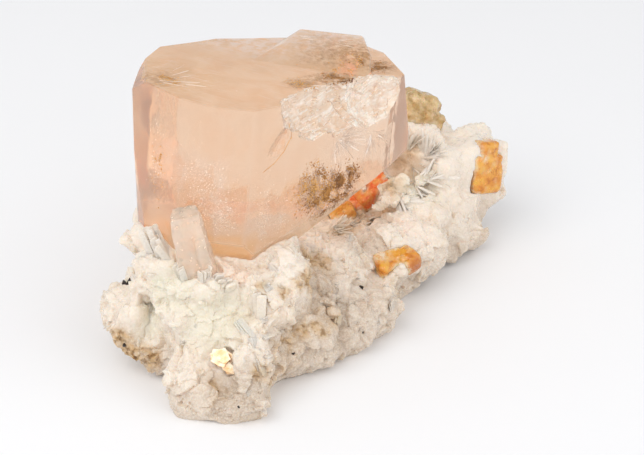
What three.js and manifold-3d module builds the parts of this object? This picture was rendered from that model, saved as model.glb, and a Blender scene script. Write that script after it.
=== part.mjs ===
// A hand specimen of pink beryl (morganite) on an albite matrix, in millimetres, +Z up.
// One stubby six-sided beryl crystal leans back a little in a socket of the white rock. Small
// orange, tan and dark crystals, a mica book and a clear quartz crystal sit in sockets of their own.
// The specimen rests on the flat broken underside of the matrix.
import * as THREE from 'three';
import { mergeVertices } from 'three/addons/utils/BufferGeometryUtils.js';
import { ConvexGeometry } from 'three/addons/geometries/ConvexGeometry.js';
import Module from 'manifold-3d';

const wasm = await Module();
wasm.setup();

// ---- driving dimensions -------------------------------------------------------------------
const SEAT_GAP = 0.3; // clearance between a crystal and its socket
const GRID = 2.2; // cell of the grid that the rock's surface is drawn on
const SMOOTHED_AWAY = 0.25; // detail of the rock finer than this is left out
const BERYL_HEIGHT = 30; // base to top face, along the crystal's axis
const BERYL_FOOT = [-11, -6.8, 20]; // middle of the front edge of the beryl's base
const BERYL_LEAN_BACK = 5.9; // degrees, about X
const BERYL_LEAN_RIGHT = 5.0; // degrees, about Y
const SPECIMEN_CENTRE = [1.9, 10.87]; // middle of the specimen's bounding box, moved to the origin

// ---- small helpers ------------------------------------------------------------------------
const vec = (a) => new THREE.Vector3(...a);
const radians = (a) => a.map((d) => THREE.MathUtils.degToRad(d));

// A matrix that turns by degrees about X, Y and Z, then moves.
function placed(at, turn = [0, 0, 0], size = [1, 1, 1]) {
  const q = new THREE.Quaternion().setFromEuler(new THREE.Euler(...radians(turn), 'ZYX'));
  return new THREE.Matrix4().compose(vec(at), q, vec(size));
}

// A closed geometry as a manifold-3d solid, and back.
function solidOf(geometry, matrix = new THREE.Matrix4()) {
  const bare = geometry.clone();
  for (const name of ['normal', 'uv']) bare.deleteAttribute(name);
  const merged = mergeVertices(bare.applyMatrix4(matrix), 1e-4);
  return new wasm.Manifold(new wasm.Mesh({
    numProp: 3,
    vertProperties: new Float32Array(merged.attributes.position.array),
    triVerts: new Uint32Array(merged.index.array),
  }));
}

function geometryOf(solid) {
  const m = solid.getMesh();
  const flat = new THREE.BufferGeometry()
    .setAttribute('position', new THREE.BufferAttribute(new Float32Array(m.vertProperties), 3))
    .setIndex(new THREE.BufferAttribute(new Uint32Array(m.triVerts), 1))
    .toNonIndexed();
  flat.computeVertexNormals();
  return flat;
}

// Repeatable numbers from 0 to 1.
function dice(seed) {
  let state = seed;
  return () => {
    state = (Math.imul(state, 1664525) + 1013904223) >>> 0;
    return state / 4294967296;
  };
}

// ---- noise for the rock -------------------------------------------------------------------
// A number from 0 to 1 for each whole point of space.
function hash(x, y, z, salt) {
  let h = Math.imul(x, 374761393) ^ Math.imul(y, 668265263) ^ Math.imul(z, 1274126177);
  h ^= Math.imul(salt, 974634777);
  h = Math.imul(h ^ (h >>> 13), 1103515245);
  h = Math.imul(h ^ (h >>> 16), 668265263);
  return ((h ^ (h >>> 15)) >>> 0) / 4294967296;
}

// Smooth noise from -1 to 1 over cells of one unit.
function noise(x, y, z, salt) {
  const [ix, iy, iz] = [Math.floor(x), Math.floor(y), Math.floor(z)];
  const ease = (t) => t * t * (3 - 2 * t);
  const [u, v, w] = [ease(x - ix), ease(y - iy), ease(z - iz)];
  let sum = 0;
  for (let corner = 0; corner < 8; corner++) {
    const [a, b, c] = [corner & 1, (corner >> 1) & 1, corner >> 2];
    const share = (a ? u : 1 - u) * (b ? v : 1 - v) * (c ? w : 1 - w);
    sum += share * hash(ix + a, iy + b, iz + c, salt);
  }
  return 2 * sum - 1;
}

// Broken blocks: each cell of space of the given size has a flat face of its own tilt and height.
function blocks(x, y, z, size, tilt, step, salt) {
  const [px, py, pz] = [x / size, y / size, z / size];
  const [ix, iy, iz] = [Math.floor(px), Math.floor(py), Math.floor(pz)];
  let best = Infinity;
  let height = 0;
  for (let a = -1; a <= 1; a++) {
    for (let b = -1; b <= 1; b++) {
      for (let c = -1; c <= 1; c++) {
        const [jx, jy, jz] = [ix + a, iy + b, iz + c];
        const dx = jx + hash(jx, jy, jz, salt) - px;
        const dy = jy + hash(jx, jy, jz, salt + 1) - py;
        const dz = jz + hash(jx, jy, jz, salt + 2) - pz;
        const near = dx * dx + dy * dy + dz * dz;
        if (near >= best) continue;
        best = near;
        const slope = [3, 4, 5].map((k) => hash(jx, jy, jz, salt + k) - 0.5);
        height = size * tilt * 2 * (dx * slope[0] + dy * slope[1] + dz * slope[2])
          + step * (hash(jx, jy, jz, salt + 6) - 0.5);
      }
    }
  }
  return height;
}

// ---- the rock's form ----------------------------------------------------------------------
// Rounded blocks that flow into each other: centre, half size, turn in degrees, rounding, blend.
const LUMPS = [
  { name: 'core', at: [-1, 15, 6.5], half: [34, 15.5, 8], turn: [0, 0, 46], round: 6 },
  { name: 'nub', at: [-13.3, -12.5, 4], half: [7.6, 14.5, 8], turn: [30, 0, -12], round: 3.5 },
  { name: 'nub ridge', at: [-7.6, -14.4, 4.2], half: [4, 12, 7.5], turn: [28, 0, -8], round: 1.8 },
  { name: 'crest', at: [-14, -2, 14.2], half: [13, 8.5, 6.6], turn: [-5, 0, 4], round: 2 },
  { name: 'ridge block', at: [-5.8, -9, 12], half: [2, 4, 5.5], turn: [-6, 4, -20], round: 0.6 },
  { name: 'quartz seat', at: [-19.2, -11.4, 15.6], half: [5.6, 3.4, 5.2], turn: [-8, 0, 6], round: 2.2 },
  { name: 'left block', at: [-28.4, -4, 10], half: [7.8, 6, 4.2], turn: [4, -14, 20], round: 2 },
  { name: 'left foot', at: [-20, -9, 4], half: [6.5, 6, 5], turn: [0, 0, -40], round: 3 },
  { name: 'left plate', at: [-27.2, 0, 16.5], half: [4.6, 4, 6.5], turn: [20, 8, 30], round: 1 },
  { name: 'left back', at: [-21, 17, 7.5], half: [9, 13, 8.5], turn: [0, 0, 20], round: 5 },
  { name: 'back', at: [-4, 35, 8], half: [18, 11, 9], turn: [0, 0, 12], round: 5 },
  { name: 'shelf', at: [14, 17.5, 5.5], half: [11.5, 8.2, 6.5], turn: [-2, 4, 44], round: 1.5 },
  { name: 'shelf lip', at: [21, 16.5, 8.5], half: [5.5, 4.5, 3.8], turn: [0, 6, 44], round: 1 },
  { name: 'front right', at: [3, -0.2, 5], half: [14, 8.6, 6.5], turn: [22, 4, 44], round: 3 },
  { name: 'lobe', at: [13, 3.5, 3.5], half: [2.6, 2.4, 4], turn: [-10, 0, 20], round: 2.2 },
  { name: 'wing', at: [30.5, 40, 14.8], half: [10.5, 6.5, 7.5], turn: [0, 6, 36], round: 4.5 },
  { name: 'wing foot', at: [24, 31, 7], half: [10.5, 7, 6], turn: [0, 0, 46], round: 4 },
  { name: 'back right', at: [19, 43, 14.4], half: [10, 6, 11], turn: [0, 0, 10], round: 3 },
];
// Hollows cut into them in the same way.
const HOLLOWS = [
  { name: 'under the overhang', at: [9, 25, 18], half: [9, 8, 7], turn: [0, 0, 45], round: 4 },
  { name: 'underside, back left', at: [-14, 24, -2.4], half: [9, 6, 4], turn: [0, 0, 30], round: 2 },
  { name: 'underside, right', at: [22, 27, -2.2], half: [8, 5, 4], turn: [0, 0, 50], round: 2 },
  { name: 'underside, front', at: [-13, -9, -2.2], half: [6, 6, 4], turn: [0, 0, 10], round: 2 },
];
const BLEND = 3; // how far two lumps flow into each other
const WAVES = [{ size: 14, rise: 1.1, salt: 31 }, { size: 6, rise: 0.9, salt: 12 }];
const BREAKS = { size: 7, tilt: 0.36, step: 1.4, salt: 70 };

// How far a point lies outside a rounded block; the block's inverse placement is worked out once.
const readied = (list) => list.map((b) => ({ ...b, inverse: placed(b.at, b.turn).invert() }));
function outside(point, block) {
  const p = point.clone().applyMatrix4(block.inverse);
  const over = [Math.abs(p.x), Math.abs(p.y), Math.abs(p.z)].map((c, i) => c - block.half[i] + block.round);
  const far = Math.hypot(...over.map((c) => Math.max(c, 0)));
  return far + Math.min(Math.max(...over), 0) - block.round;
}

function smoothLess(a, b, blend) {
  const share = Math.max(blend - Math.abs(a - b), 0) / blend;
  return Math.min(a, b) - (share * share * blend) / 4;
}

// Negative inside the rock, positive outside, about in millimetres.
const lumps = readied(LUMPS);
const hollows = readied(HOLLOWS);
function rockField(x, y, z) {
  const p = new THREE.Vector3(x, y, z);
  let d = lumps.reduce((sum, lump) => smoothLess(sum, outside(p, lump), BLEND), 100);
  for (const hollow of hollows) d = -smoothLess(-d, outside(p, hollow), BLEND);
  for (const w of WAVES) d += w.rise * noise(x / w.size, y / w.size, z / w.size, w.salt);
  return d + blocks(x, y, z, BREAKS.size, BREAKS.tilt, BREAKS.step, BREAKS.salt);
}

// Fills in grid points until no cell holds two separate pieces that only touch at a corner or an
// edge, so that the surface never meets itself.
function filledIn(value, stride, cells) {
  const faces = [[0, 1], [1, 2], [0, 2]];
  const far = stride[0] + stride[1] + stride[2];
  const nearCorners = [0, ...stride];
  const all = [...nearCorners, ...nearCorners.map((o) => far - o)];
  const fill = (points) => { // the outside point that is nearest to the surface
    const open = points.filter((i) => value[i] >= 0).sort((a, b) => value[a] - value[b]);
    value[open[0]] = -0.05;
  };
  for (let changed = true; changed;) {
    changed = false;
    for (const i of cells) {
      for (const [s, t] of faces) {
        const [a, b, c, d] = [i, i + stride[s], i + stride[s] + stride[t], i + stride[t]];
        const crossed = value[a] < 0 === value[c] < 0 && value[b] < 0 === value[d] < 0;
        if (!crossed || value[a] < 0 === value[b] < 0) continue;
        fill([a, b, c, d]);
        changed = true;
      }
      for (const start of nearCorners) {
        const end = far - start;
        const rest = all.filter((o) => o !== start && o !== end);
        const side = value[i + start] < 0;
        if (value[i + end] < 0 !== side || rest.some((o) => value[i + o] < 0 === side)) continue;
        fill(all.map((o) => i + o));
        changed = true;
      }
    }
  }
}

// The surface where a field crosses zero, as one closed mesh: a vertex in each grid cell that the
// surface passes through, and two triangles across each grid edge that it crosses.
function surfaceOf(field, low, high, cell) {
  const n = low.map((v, i) => Math.ceil((high[i] - v) / cell) + 1);
  const stride = [1, n[0], n[0] * n[1]];
  const place = (i) => [i % n[0], Math.floor(i / n[0]) % n[1], Math.floor(i / stride[2])];
  const value = new Float32Array(n[0] * n[1] * n[2]);
  value.forEach((_, i) => { value[i] = field(...place(i).map((c, k) => low[k] + c * cell)); });

  const corners = [0, 1, 2, 3, 4, 5, 6, 7].map((c) => [c & 1, (c >> 1) & 1, c >> 2]);
  const edges = corners.flatMap((a, i) => corners.slice(i + 1)
    .filter((b) => a.filter((v, k) => v !== b[k]).length === 1).map((b) => [a, b]));
  const at = (base, c) => value[base + c[0] + c[1] * stride[1] + c[2] * stride[2]];
  const cells = Array.from(value.keys()).filter((i) => place(i).every((c, k) => c < n[k] - 1));
  filledIn(value, stride, cells);
  const vertexOf = new Map();
  const positions = [];
  for (const i of cells) {
    const p = place(i);
    const crossed = edges.filter(([a, b]) => at(i, a) < 0 !== at(i, b) < 0);
    if (!crossed.length) continue;
    const sum = [0, 0, 0];
    for (const [a, b] of crossed) {
      const t = at(i, a) / (at(i, a) - at(i, b));
      for (let k = 0; k < 3; k++) sum[k] += a[k] + t * (b[k] - a[k]);
    }
    vertexOf.set(i, positions.length / 3);
    positions.push(...sum.map((s, k) => low[k] + cell * (p[k] + s / crossed.length)));
  }

  const gap = (a, b) => Math.hypot(...[0, 1, 2].map((k) => positions[3 * a + k] - positions[3 * b + k]));
  const index = [];
  for (const i of vertexOf.keys()) {
    const p = place(i);
    for (let axis = 0; axis < 3; axis++) {
      const inside = value[i] < 0;
      const [s, t] = [(axis + 1) % 3, (axis + 2) % 3];
      if (inside === value[i + stride[axis]] < 0 || !p[s] || !p[t]) continue;
      const round = [i, i - stride[s], i - stride[s] - stride[t], i - stride[t]].map((c) => vertexOf.get(c));
      const [a, b, c, d] = inside ? round : round.reverse();
      index.push(...(gap(a, c) < gap(b, d) ? [a, b, c, a, c, d] : [b, c, d, b, d, a]));
    }
  }
  return new THREE.BufferGeometry()
    .setAttribute('position', new THREE.Float32BufferAttribute(positions, 3))
    .setIndex(index);
}

// ---- the beryl ----------------------------------------------------------------------------
// Outline of the prism, from the middle of its front edge: across, then back. Its long sides run
// at 60 degrees to each other, with narrow faces between them.
const BERYL_OUTLINE = [
  [-22, 10.5], [-17, 5.8], [-12.5, 1.5], [-9, -0.2], [-5.5, -1.3], [0.5, -1], [4.8, 2.6],
  [25, 23.4], [28.6, 28.8], [28, 32], [18, 40.7], [6, 41], [-9.5, 35.4], [-19.2, 27.5], [-21.7, 18],
];
const BERYL_FRAME = placed(BERYL_FOOT, [-BERYL_LEAN_BACK, BERYL_LEAN_RIGHT, -2.5]);

// A big slab whose lower face passes through a point; a solid loses what lies on its normal's side.
function beyond(at, normal, grow) {
  const slab = 200;
  const up = vec(normal).normalize();
  const q = new THREE.Quaternion().setFromUnitVectors(new THREE.Vector3(0, 0, 1), up);
  const centre = vec(at).addScaledVector(up, slab / 2 + grow);
  const place = new THREE.Matrix4().compose(centre, q, vec([1, 1, 1]));
  return solidOf(new THREE.BoxGeometry(slab, slab, slab), place);
}

// Faces that cut the prism: a point on each and the way it faces, in the crystal's own frame.
const BERYL_CUTS = [
  { name: 'broken base, lower right', at: [18.9, 17.2, 7.9], normal: [0.68, -0.2, -0.706] },
  { name: 'strip along the broken base', at: [18.9, 17.2, 8.9], normal: [0.69, -0.47, -0.55] },
  { name: 'bevel at the front of the base', at: [-2, -1.2, 4.6], normal: [0, -0.82, -0.57] },
  { name: 'left side, leaning in', at: [-22, 14, 28], normal: [-0.995, 0, -0.09] },
  { name: 'left face that narrows downwards', at: [-20.5, 9.1, 14], normal: [-0.9, -0.42, -0.12] },
  { name: 'right side, leaning in', at: [26.4, 26.7, 28.1], normal: [0.9, 0.3, 0.24] },
  { name: 'rim, left', at: [-21, 14, 29], normal: [-0.72, -0.1, 0.68] },
];
const CHIP = { at: [15.5, 11, 28], size: [13, 4.4, 7.6], turn: [0, 0, 46], rough: 0.16, seed: 5 };
const TERRACE = { outline: [[3, 31], [20, 29], [18.3, 40], [6.2, 40.6]], rise: 1.3 };

// An outline as a prism along Z, with its sides moved outwards by grow.
function prism(outline, low, high, grow = 0) {
  const n = outline.length;
  const middle = outline.reduce((s, p) => [s[0] + p[0] / n, s[1] + p[1] / n], [0, 0]);
  const corners = outline.map(([x, y]) => {
    const out = new THREE.Vector2(x - middle[0], y - middle[1]).setLength(grow * 1.15);
    return out.add(new THREE.Vector2(x, y));
  });
  const depth = high - low;
  const body = new THREE.ExtrudeGeometry(new THREE.Shape(corners), { depth, bevelEnabled: false });
  return solidOf(body, new THREE.Matrix4().makeTranslation(0, 0, low));
}

// A ball with an uneven surface, as for a shell-shaped break.
function roughBall({ at, size, turn, rough, seed }, detail = 2) {
  const ball = new THREE.IcosahedronGeometry(1, detail);
  const p = ball.attributes.position;
  for (let i = 0; i < p.count; i++) {
    const v = new THREE.Vector3().fromBufferAttribute(p, i);
    const swell = 1 + rough * noise(v.x * 2.3 + 9, v.y * 2.3, v.z * 2.3, seed);
    p.setXYZ(i, v.x * swell, v.y * swell, v.z * swell);
  }
  return solidOf(ball, placed(at, turn, size));
}

// The crystal, or with grow the socket that it sits in.
function beryl(grow = 0) {
  let body = prism(BERYL_OUTLINE, -grow, BERYL_HEIGHT + grow, grow);
  if (!grow) body = body.add(prism(TERRACE.outline, BERYL_HEIGHT - 1, BERYL_HEIGHT + TERRACE.rise));
  for (const cut of BERYL_CUTS) body = body.subtract(beyond(cut.at, cut.normal, grow));
  if (!grow) body = body.subtract(roughBall(CHIP));
  return body.transform(BERYL_FRAME.elements);
}

// ---- small crystals -----------------------------------------------------------------------
// A block with its edges and corners cut off: the hull of three points near each of its corners.
function crystalBlock([sx, sy, sz], corner = 0.25) {
  const points = [];
  for (const x of [-1, 1]) {
    for (const y of [-1, 1]) {
      for (const z of [-1, 1]) {
        points.push(new THREE.Vector3(x * sx, y * sy * (1 - corner), z * sz * (1 - corner)));
        points.push(new THREE.Vector3(x * sx * (1 - corner), y * sy, z * sz * (1 - corner)));
        points.push(new THREE.Vector3(x * sx * (1 - corner), y * sy * (1 - corner), z * sz));
      }
    }
  }
  return new ConvexGeometry(points);
}

// A thin six-sided plate, such as a mica leaf.
function plate([sx, sy, thick], sides = 6) {
  return new THREE.CylinderGeometry(1, 1, 2, sides).rotateX(Math.PI / 2).scale(sx, sy, thick);
}

// One piece of a crystal: its form, which can be grown on all sides, its place and its turn.
const grown = (half, g) => half.map((h) => h + g);
const block = (half, corner, at, turn) => ({ form: (g) => crystalBlock(grown(half, g), corner), at, turn });
const leaf = (half, sides, at, turn) => ({ form: (g) => plate(grown(half, g), sides), at, turn });

// Each crystal is one or more such pieces grown together.
const ORANGE = { color: 0xd9861c, roughness: 0.45 };
const CRYSTALS = [
  {
    name: 'orange_crystal_right', finish: ORANGE,
    pieces: [
      block([3.2, 2.4, 3.6], 0.15, [35.6, 37.4, 15.4], [-6, 10, 30]),
      block([2, 1.9, 2.2], 0.15, [36, 38, 19.2], [-10, 12, 34]),
    ],
  },
  {
    name: 'orange_crystal_front', finish: ORANGE,
    pieces: [
      block([3, 2, 1.3], 0.2, [16.9, 11.6, 9.6], [20, -4, 24]),
      block([1.7, 2, 1.7], 0.2, [19.7, 12, 9.8], [8, -18, 38]),
    ],
  },
  {
    name: 'red_crystal', finish: { color: 0xb4490c, roughness: 0.4 },
    pieces: [
      block([3.6, 2.2, 2.3], 0.2, [14, 32.4, 13.4], [12, -32, 20]),
      block([2, 1.8, 1.7], 0.25, [11, 31.4, 11.2], [0, -20, 50]),
    ],
  },
  {
    name: 'amber_crystal', finish: ORANGE,
    pieces: [block([2.4, 1.5, 1.3], 0.25, [7.6, 26.4, 11.8], [10, -24, 15])],
  },
  {
    name: 'mica_book', finish: { color: 0xe9c18a, roughness: 0.3 },
    pieces: [
      leaf([2.5, 1.9, 0.9], 7, [-13.9, -20.3, 9.5], [48, 8, 10]),
      leaf([1.8, 1.4, 0.7], 6, [-12.5, -21, 8], [54, 20, 22]),
    ],
  },
  {
    name: 'tan_crystal', finish: { color: 0xc4a062, roughness: 0.5 },
    pieces: [
      block([3.8, 3, 3.6], 0.35, [22.6, 43.5, 26.2], [-12, 26, 20]),
      block([2.6, 2.4, 2], 0.3, [25, 43, 24.4], [0, 34, 30]),
    ],
  },
  {
    name: 'quartz_crystal', finish: { color: 0xf0e2d4, roughness: 0.1, transparent: true, opacity: 0.6 },
    pieces: [
      block([3.1, 2.7, 6.2], 0.13, [-19.7, -8.5, 25.6], [-4, -9, 14]),
      block([1.9, 2.1, 4.6], 0.16, [-16.9, -9.1, 23.4], [-4, -9, 26]),
    ],
  },
  {
    name: 'dark_grain', finish: { color: 0x2a1a14, roughness: 0.6 },
    pieces: [block([1.1, 0.8, 0.7], 0.3, [-31.2, -1.9, 13.4], [30, 20, 10])],
  },
];
// Pieces grown together, less the room that the beryl takes.
const crystalSolid = (crystal, grow = 0) => crystal.pieces
  .map((p) => solidOf(p.form(grow), placed(p.at, p.turn)))
  .reduce((a, b) => a.add(b))
  .subtract(beryl(SEAT_GAP));

// ---- albite blades that stand out of the rock ---------------------------------------------
// Sheaves of thin plates: middle, spread, how many, mean length, and the way that they point.
const SHEAVES = [
  { at: [21, 29, 15.5], spread: [6, 6, 2.5], count: 22, length: 5, turn: [50, 0, 20], seed: 3 },
  { at: [14, 26, 9.5], spread: [6, 5, 1.5], count: 12, length: 4.5, turn: [70, 10, 60], seed: 7 },
  { at: [-26.5, 3, 23], spread: [3, 4, 3], count: 8, length: 7, turn: [-30, 20, 40], seed: 9 },
  { at: [2, -5, 12], spread: [8, 4, 2], count: 10, length: 4.5, turn: [40, 20, 120], seed: 13 },
];
function bladesOf({ at, spread, count, length, turn, seed }) {
  const roll = dice(seed);
  const about = (middle, reach) => middle + (2 * roll() - 1) * reach;
  return Array.from({ length: count }, () => {
    const size = [length * about(0.5, 0.15), length * about(0.24, 0.08), 0.5];
    const where = at.map((c, k) => about(c, spread[k]));
    return solidOf(crystalBlock(size, 0.3), placed(where, turn.map((t) => about(t, 38))));
  });
}

// ---- the rock as a solid ------------------------------------------------------------------
function matrixRock() {
  let rock = solidOf(surfaceOf(rockField, [-52, -42, -16], [56, 66, 40], GRID));
  for (const blade of SHEAVES.flatMap(bladesOf)) rock = rock.add(blade);
  rock = rock.subtract(beryl(SEAT_GAP));
  for (const crystal of CRYSTALS) rock = rock.subtract(crystalSolid(crystal, SEAT_GAP));
  rock = rock.subtract(beyond([0, 0, 0], [0, 0, -1], 0));
  const bodies = rock.simplify(SMOOTHED_AWAY).decompose().sort((a, b) => b.volume() - a.volume());
  return bodies[0]; // crumbs that the sockets cut loose are left out
}

// ---- the specimen -------------------------------------------------------------------------
function named(name, solid, finish) {
  const mesh = new THREE.Mesh(geometryOf(solid), new THREE.MeshStandardMaterial({ metalness: 0, ...finish }));
  mesh.name = name;
  return mesh;
}

const specimen = new THREE.Group();
specimen.add(named('matrix', matrixRock(), { color: 0xeee3d3, roughness: 0.85 }));
const CLEAR_PINK = { color: 0xe8b896, roughness: 0.1, transparent: true, opacity: 0.75 };
specimen.add(named('beryl_crystal', beryl(), CLEAR_PINK));
for (const crystal of CRYSTALS) {
  specimen.add(named(crystal.name, crystalSolid(crystal), crystal.finish));
}
specimen.position.set(-SPECIMEN_CENTRE[0], -SPECIMEN_CENTRE[1], 0);

export default specimen;
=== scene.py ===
"""The looks of a pink beryl crystal on its albite rock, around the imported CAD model.

Places and sizes are in millimetres in the shared frame, and become metres where a mesh is made.
"""
import math
import random

import bmesh
import bpy
import numpy as np
from mathutils import Euler, Matrix, Vector
from mathutils.bvhtree import BVHTree


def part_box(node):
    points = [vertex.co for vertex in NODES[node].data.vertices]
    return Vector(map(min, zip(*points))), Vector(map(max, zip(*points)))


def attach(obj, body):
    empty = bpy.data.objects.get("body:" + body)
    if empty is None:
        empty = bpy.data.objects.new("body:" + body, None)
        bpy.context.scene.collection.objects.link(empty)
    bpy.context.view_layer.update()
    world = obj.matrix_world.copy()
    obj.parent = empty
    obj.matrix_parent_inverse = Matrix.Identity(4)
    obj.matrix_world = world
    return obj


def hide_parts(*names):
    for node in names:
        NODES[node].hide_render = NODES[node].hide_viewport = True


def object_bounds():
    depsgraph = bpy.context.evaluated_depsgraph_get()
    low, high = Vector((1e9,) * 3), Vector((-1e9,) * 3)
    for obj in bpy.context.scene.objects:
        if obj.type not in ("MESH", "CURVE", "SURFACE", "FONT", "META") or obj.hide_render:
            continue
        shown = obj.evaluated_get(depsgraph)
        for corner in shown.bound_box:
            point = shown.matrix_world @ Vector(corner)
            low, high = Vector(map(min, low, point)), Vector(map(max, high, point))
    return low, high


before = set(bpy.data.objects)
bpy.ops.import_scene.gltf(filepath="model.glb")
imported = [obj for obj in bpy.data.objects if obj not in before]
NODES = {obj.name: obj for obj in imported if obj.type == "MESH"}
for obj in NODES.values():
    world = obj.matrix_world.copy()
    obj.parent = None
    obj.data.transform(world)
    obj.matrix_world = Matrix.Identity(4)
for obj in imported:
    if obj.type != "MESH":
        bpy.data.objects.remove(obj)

CAD_BOX = [list(corner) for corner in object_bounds()]
MM = 0.001
BODY = "root"


# ---- numbers that repeat ----
def hashed(cells, salt):
    """A number from 0 to 1 for each row of whole coordinates."""
    low = 0xFFFFFFFF
    k = cells.astype(np.int64)
    h = (k[:, 0] * 374761393 ^ k[:, 1] * 668265263 ^ k[:, 2] * 1274126177 ^ salt * 974634777) & low
    h = ((h ^ (h >> 13)) * 1103515245) & low
    h = ((h ^ (h >> 16)) * 668265263) & low
    return ((h ^ (h >> 15)) & low) / low


def hashed_rows(cells, salt):
    return np.stack([hashed(cells, salt + k) for k in range(3)], axis=1)


def noise(points, size, salt):
    """Smooth noise from -1 to 1 over cells of the given size."""
    p = points / size
    base = np.floor(p)
    t = p - base
    ease = t * t * (3 - 2 * t)
    total = np.zeros(len(p))
    for corner in range(8):
        offset = np.array([corner & 1, (corner >> 1) & 1, corner >> 2])
        share = np.where(offset, ease, 1 - ease).prod(axis=1)
        total += share * hashed(base + offset, salt)
    return 2 * total - 1


def shaken(points, amount, size, salt):
    """The points moved about by noise."""
    return points + amount * np.stack([noise(points, size, salt + k) for k in range(3)], axis=1)


def neighbours(points, size, salt):
    """For each of the 27 jittered cells about each point: the cells, and the way from their middles."""
    p = points / size
    base = np.floor(p)
    for number in range(27):
        cell = base + np.array([number % 3, number // 3 % 3, number // 9]) - 1
        yield cell, p - (cell + hashed_rows(cell, salt))


def slopes(cell, offset, salt):
    """The height of each cell's own tilted face at an offset from its middle."""
    return (offset * (hashed_rows(cell, salt) - 0.5)).sum(axis=1)


def unit_rows(ways):
    return ways / (np.linalg.norm(ways, axis=1)[:, None] + 1e-6)


def facets(points, size, tilt, salt, sag=0.35, step=0.25):
    """Grown-together crystal faces: the height of the highest of the tilted faces nearby."""
    height = np.full(len(points), -np.inf)
    for cell, offset in neighbours(points, size, salt):
        face = 2 * tilt * slopes(cell, offset, salt + 3)
        face += step * (hashed(cell, salt + 6) - 0.5) - sag * (offset ** 2).sum(axis=1)
        height = np.maximum(height, face)
    return size * height


def broken(points, size, tilt, step, salt):
    """Broken ground: a flat face of its own tilt and height in each cell, and how near its edges are."""
    first = np.full(len(points), np.inf)
    second = np.full(len(points), np.inf)
    height = np.zeros(len(points))
    for cell, offset in neighbours(points, size, salt):
        far = (offset ** 2).sum(axis=1)
        nearest = far < first
        second = np.where(nearest, first, np.minimum(second, far))
        first = np.where(nearest, far, first)
        face = 2 * tilt * size * slopes(cell, offset, salt + 3)
        height = np.where(nearest, face + step * (hashed(cell, salt + 6) - 0.5), height)
    edge = 1 - np.clip((np.sqrt(second) - np.sqrt(first)) * 5, 0, 1)
    return height, edge


def laths(points, patch, size, tilt, step, salt):
    """Bladed ground: broken faces three times as long as wide, which run one way in each patch."""
    first = np.full(len(points), np.inf)
    ways = np.zeros((2, len(points), 3))
    for cell, offset in neighbours(points, patch, salt):
        far = (offset ** 2).sum(axis=1)
        nearer = far < first
        first = np.where(nearer, far, first)
        for k in range(2):
            ways[k][nearer] = hashed_rows(cell[nearer], salt + 3 + 3 * k) - 0.5
    along = unit_rows(ways[0])
    across = unit_rows(np.cross(along, ways[1]))
    through = np.cross(along, across)
    turned = np.stack([(points * way).sum(axis=1) for way in (along / 3, across, through)], axis=1)
    return broken(turned, size, tilt, step, salt + 20)


def knobs(points, size, salt):
    """Rounded grains: 1 at the middle of each grain, falling to 0 between them."""
    first = np.full(len(points), np.inf)
    for _, offset in neighbours(points, size, salt):
        first = np.minimum(first, (offset ** 2).sum(axis=1))
    return np.clip(1 - first / 0.6, 0, 1)


def eased(value, low, high):
    t = np.clip((value - low) / (high - low), 0, 1)
    return t * t * (3 - 2 * t)


def blobs(points, spots):
    """How strongly a list of (place, radius, strength) spots reaches each point."""
    total = np.zeros(len(points))
    for place, radius, strength in spots:
        far = np.linalg.norm(points - np.array(place), axis=1) / radius
        total = np.maximum(total, strength * (1 - eased(far, 0.35, 1.15)))
    return total


def jolt(rng, reach):
    return Vector([rng.uniform(-reach, reach) for _ in range(3)])


def drift(rng, spread=1.0):
    return Vector([rng.gauss(0, spread) for _ in range(3)])


def swung(rng, way, degrees, about):
    """A way, turned about another by up to an angle to either side."""
    turned = Vector(way)
    turned.rotate(Matrix.Rotation(math.radians(degrees) * rng.uniform(-1, 1), 3, about))
    return turned


# ---- meshes ----
def new_object(name, mesh, *finishes):
    """An object whose faces keep their numbers in the list of finishes."""
    mesh.name = name
    obj = bpy.data.objects.new(name, mesh)
    bpy.context.scene.collection.objects.link(obj)
    while len(mesh.materials) < len(finishes):
        mesh.materials.append(None)
    for number, finish in enumerate(finishes):
        mesh.materials[number] = finish
    return obj


def placed(piece, node=None, shadow=True):
    """The piece rides on the part, and may stand for a CAD node."""
    if node:
        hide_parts(node)
    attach(piece, BODY)
    piece.visible_shadow = shadow
    return piece


def corners(node):
    return [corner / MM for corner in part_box(node)]


def mesh_from(points, faces):
    mesh = bpy.data.meshes.new("mesh")
    mesh.from_pydata((np.asarray(points) * MM).tolist(), [], faces)
    mesh.validate()
    return mesh


def mesh_of(shape):
    """A bmesh in millimetres as a mesh in metres."""
    bmesh.ops.scale(shape, vec=(MM, MM, MM), verts=shape.verts)
    mesh = bpy.data.meshes.new("mesh")
    shape.to_mesh(mesh)
    shape.free()
    return mesh


def rows_of(items, field):
    flat = np.zeros(len(items) * 3)
    items.foreach_get(field, flat)
    return flat.reshape(-1, 3)


def mesh_points(mesh):
    return rows_of(mesh.vertices, "co") / MM


def move_points(mesh, points):
    mesh.vertices.foreach_set("co", (points * MM).ravel())
    mesh.update()


def raise_points(mesh, points, height):
    """Moves the points out along the mesh's normals."""
    move_points(mesh, points + rows_of(mesh.vertex_normals, "vector") * height[:, None])


def softened(mesh, points, share=0.5):
    """The points moved part of the way to the middle of those they are joined to."""
    ends = np.zeros(2 * len(mesh.edges), np.int32)
    mesh.edges.foreach_get("vertices", ends)
    a, b = ends.reshape(-1, 2).T
    total = np.zeros_like(points)
    count = np.zeros(len(points))
    for here, there in ((a, b), (b, a)):
        np.add.at(total, here, points[there])
        np.add.at(count, here, 1)
    return points + share * (total / count[:, None] - points)


def shade(mesh, degrees):
    """Smooth shading, with edges sharper than the angle left crisp."""
    mesh.shade_smooth()
    mesh.set_sharp_from_angle(angle=math.radians(degrees))


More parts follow.
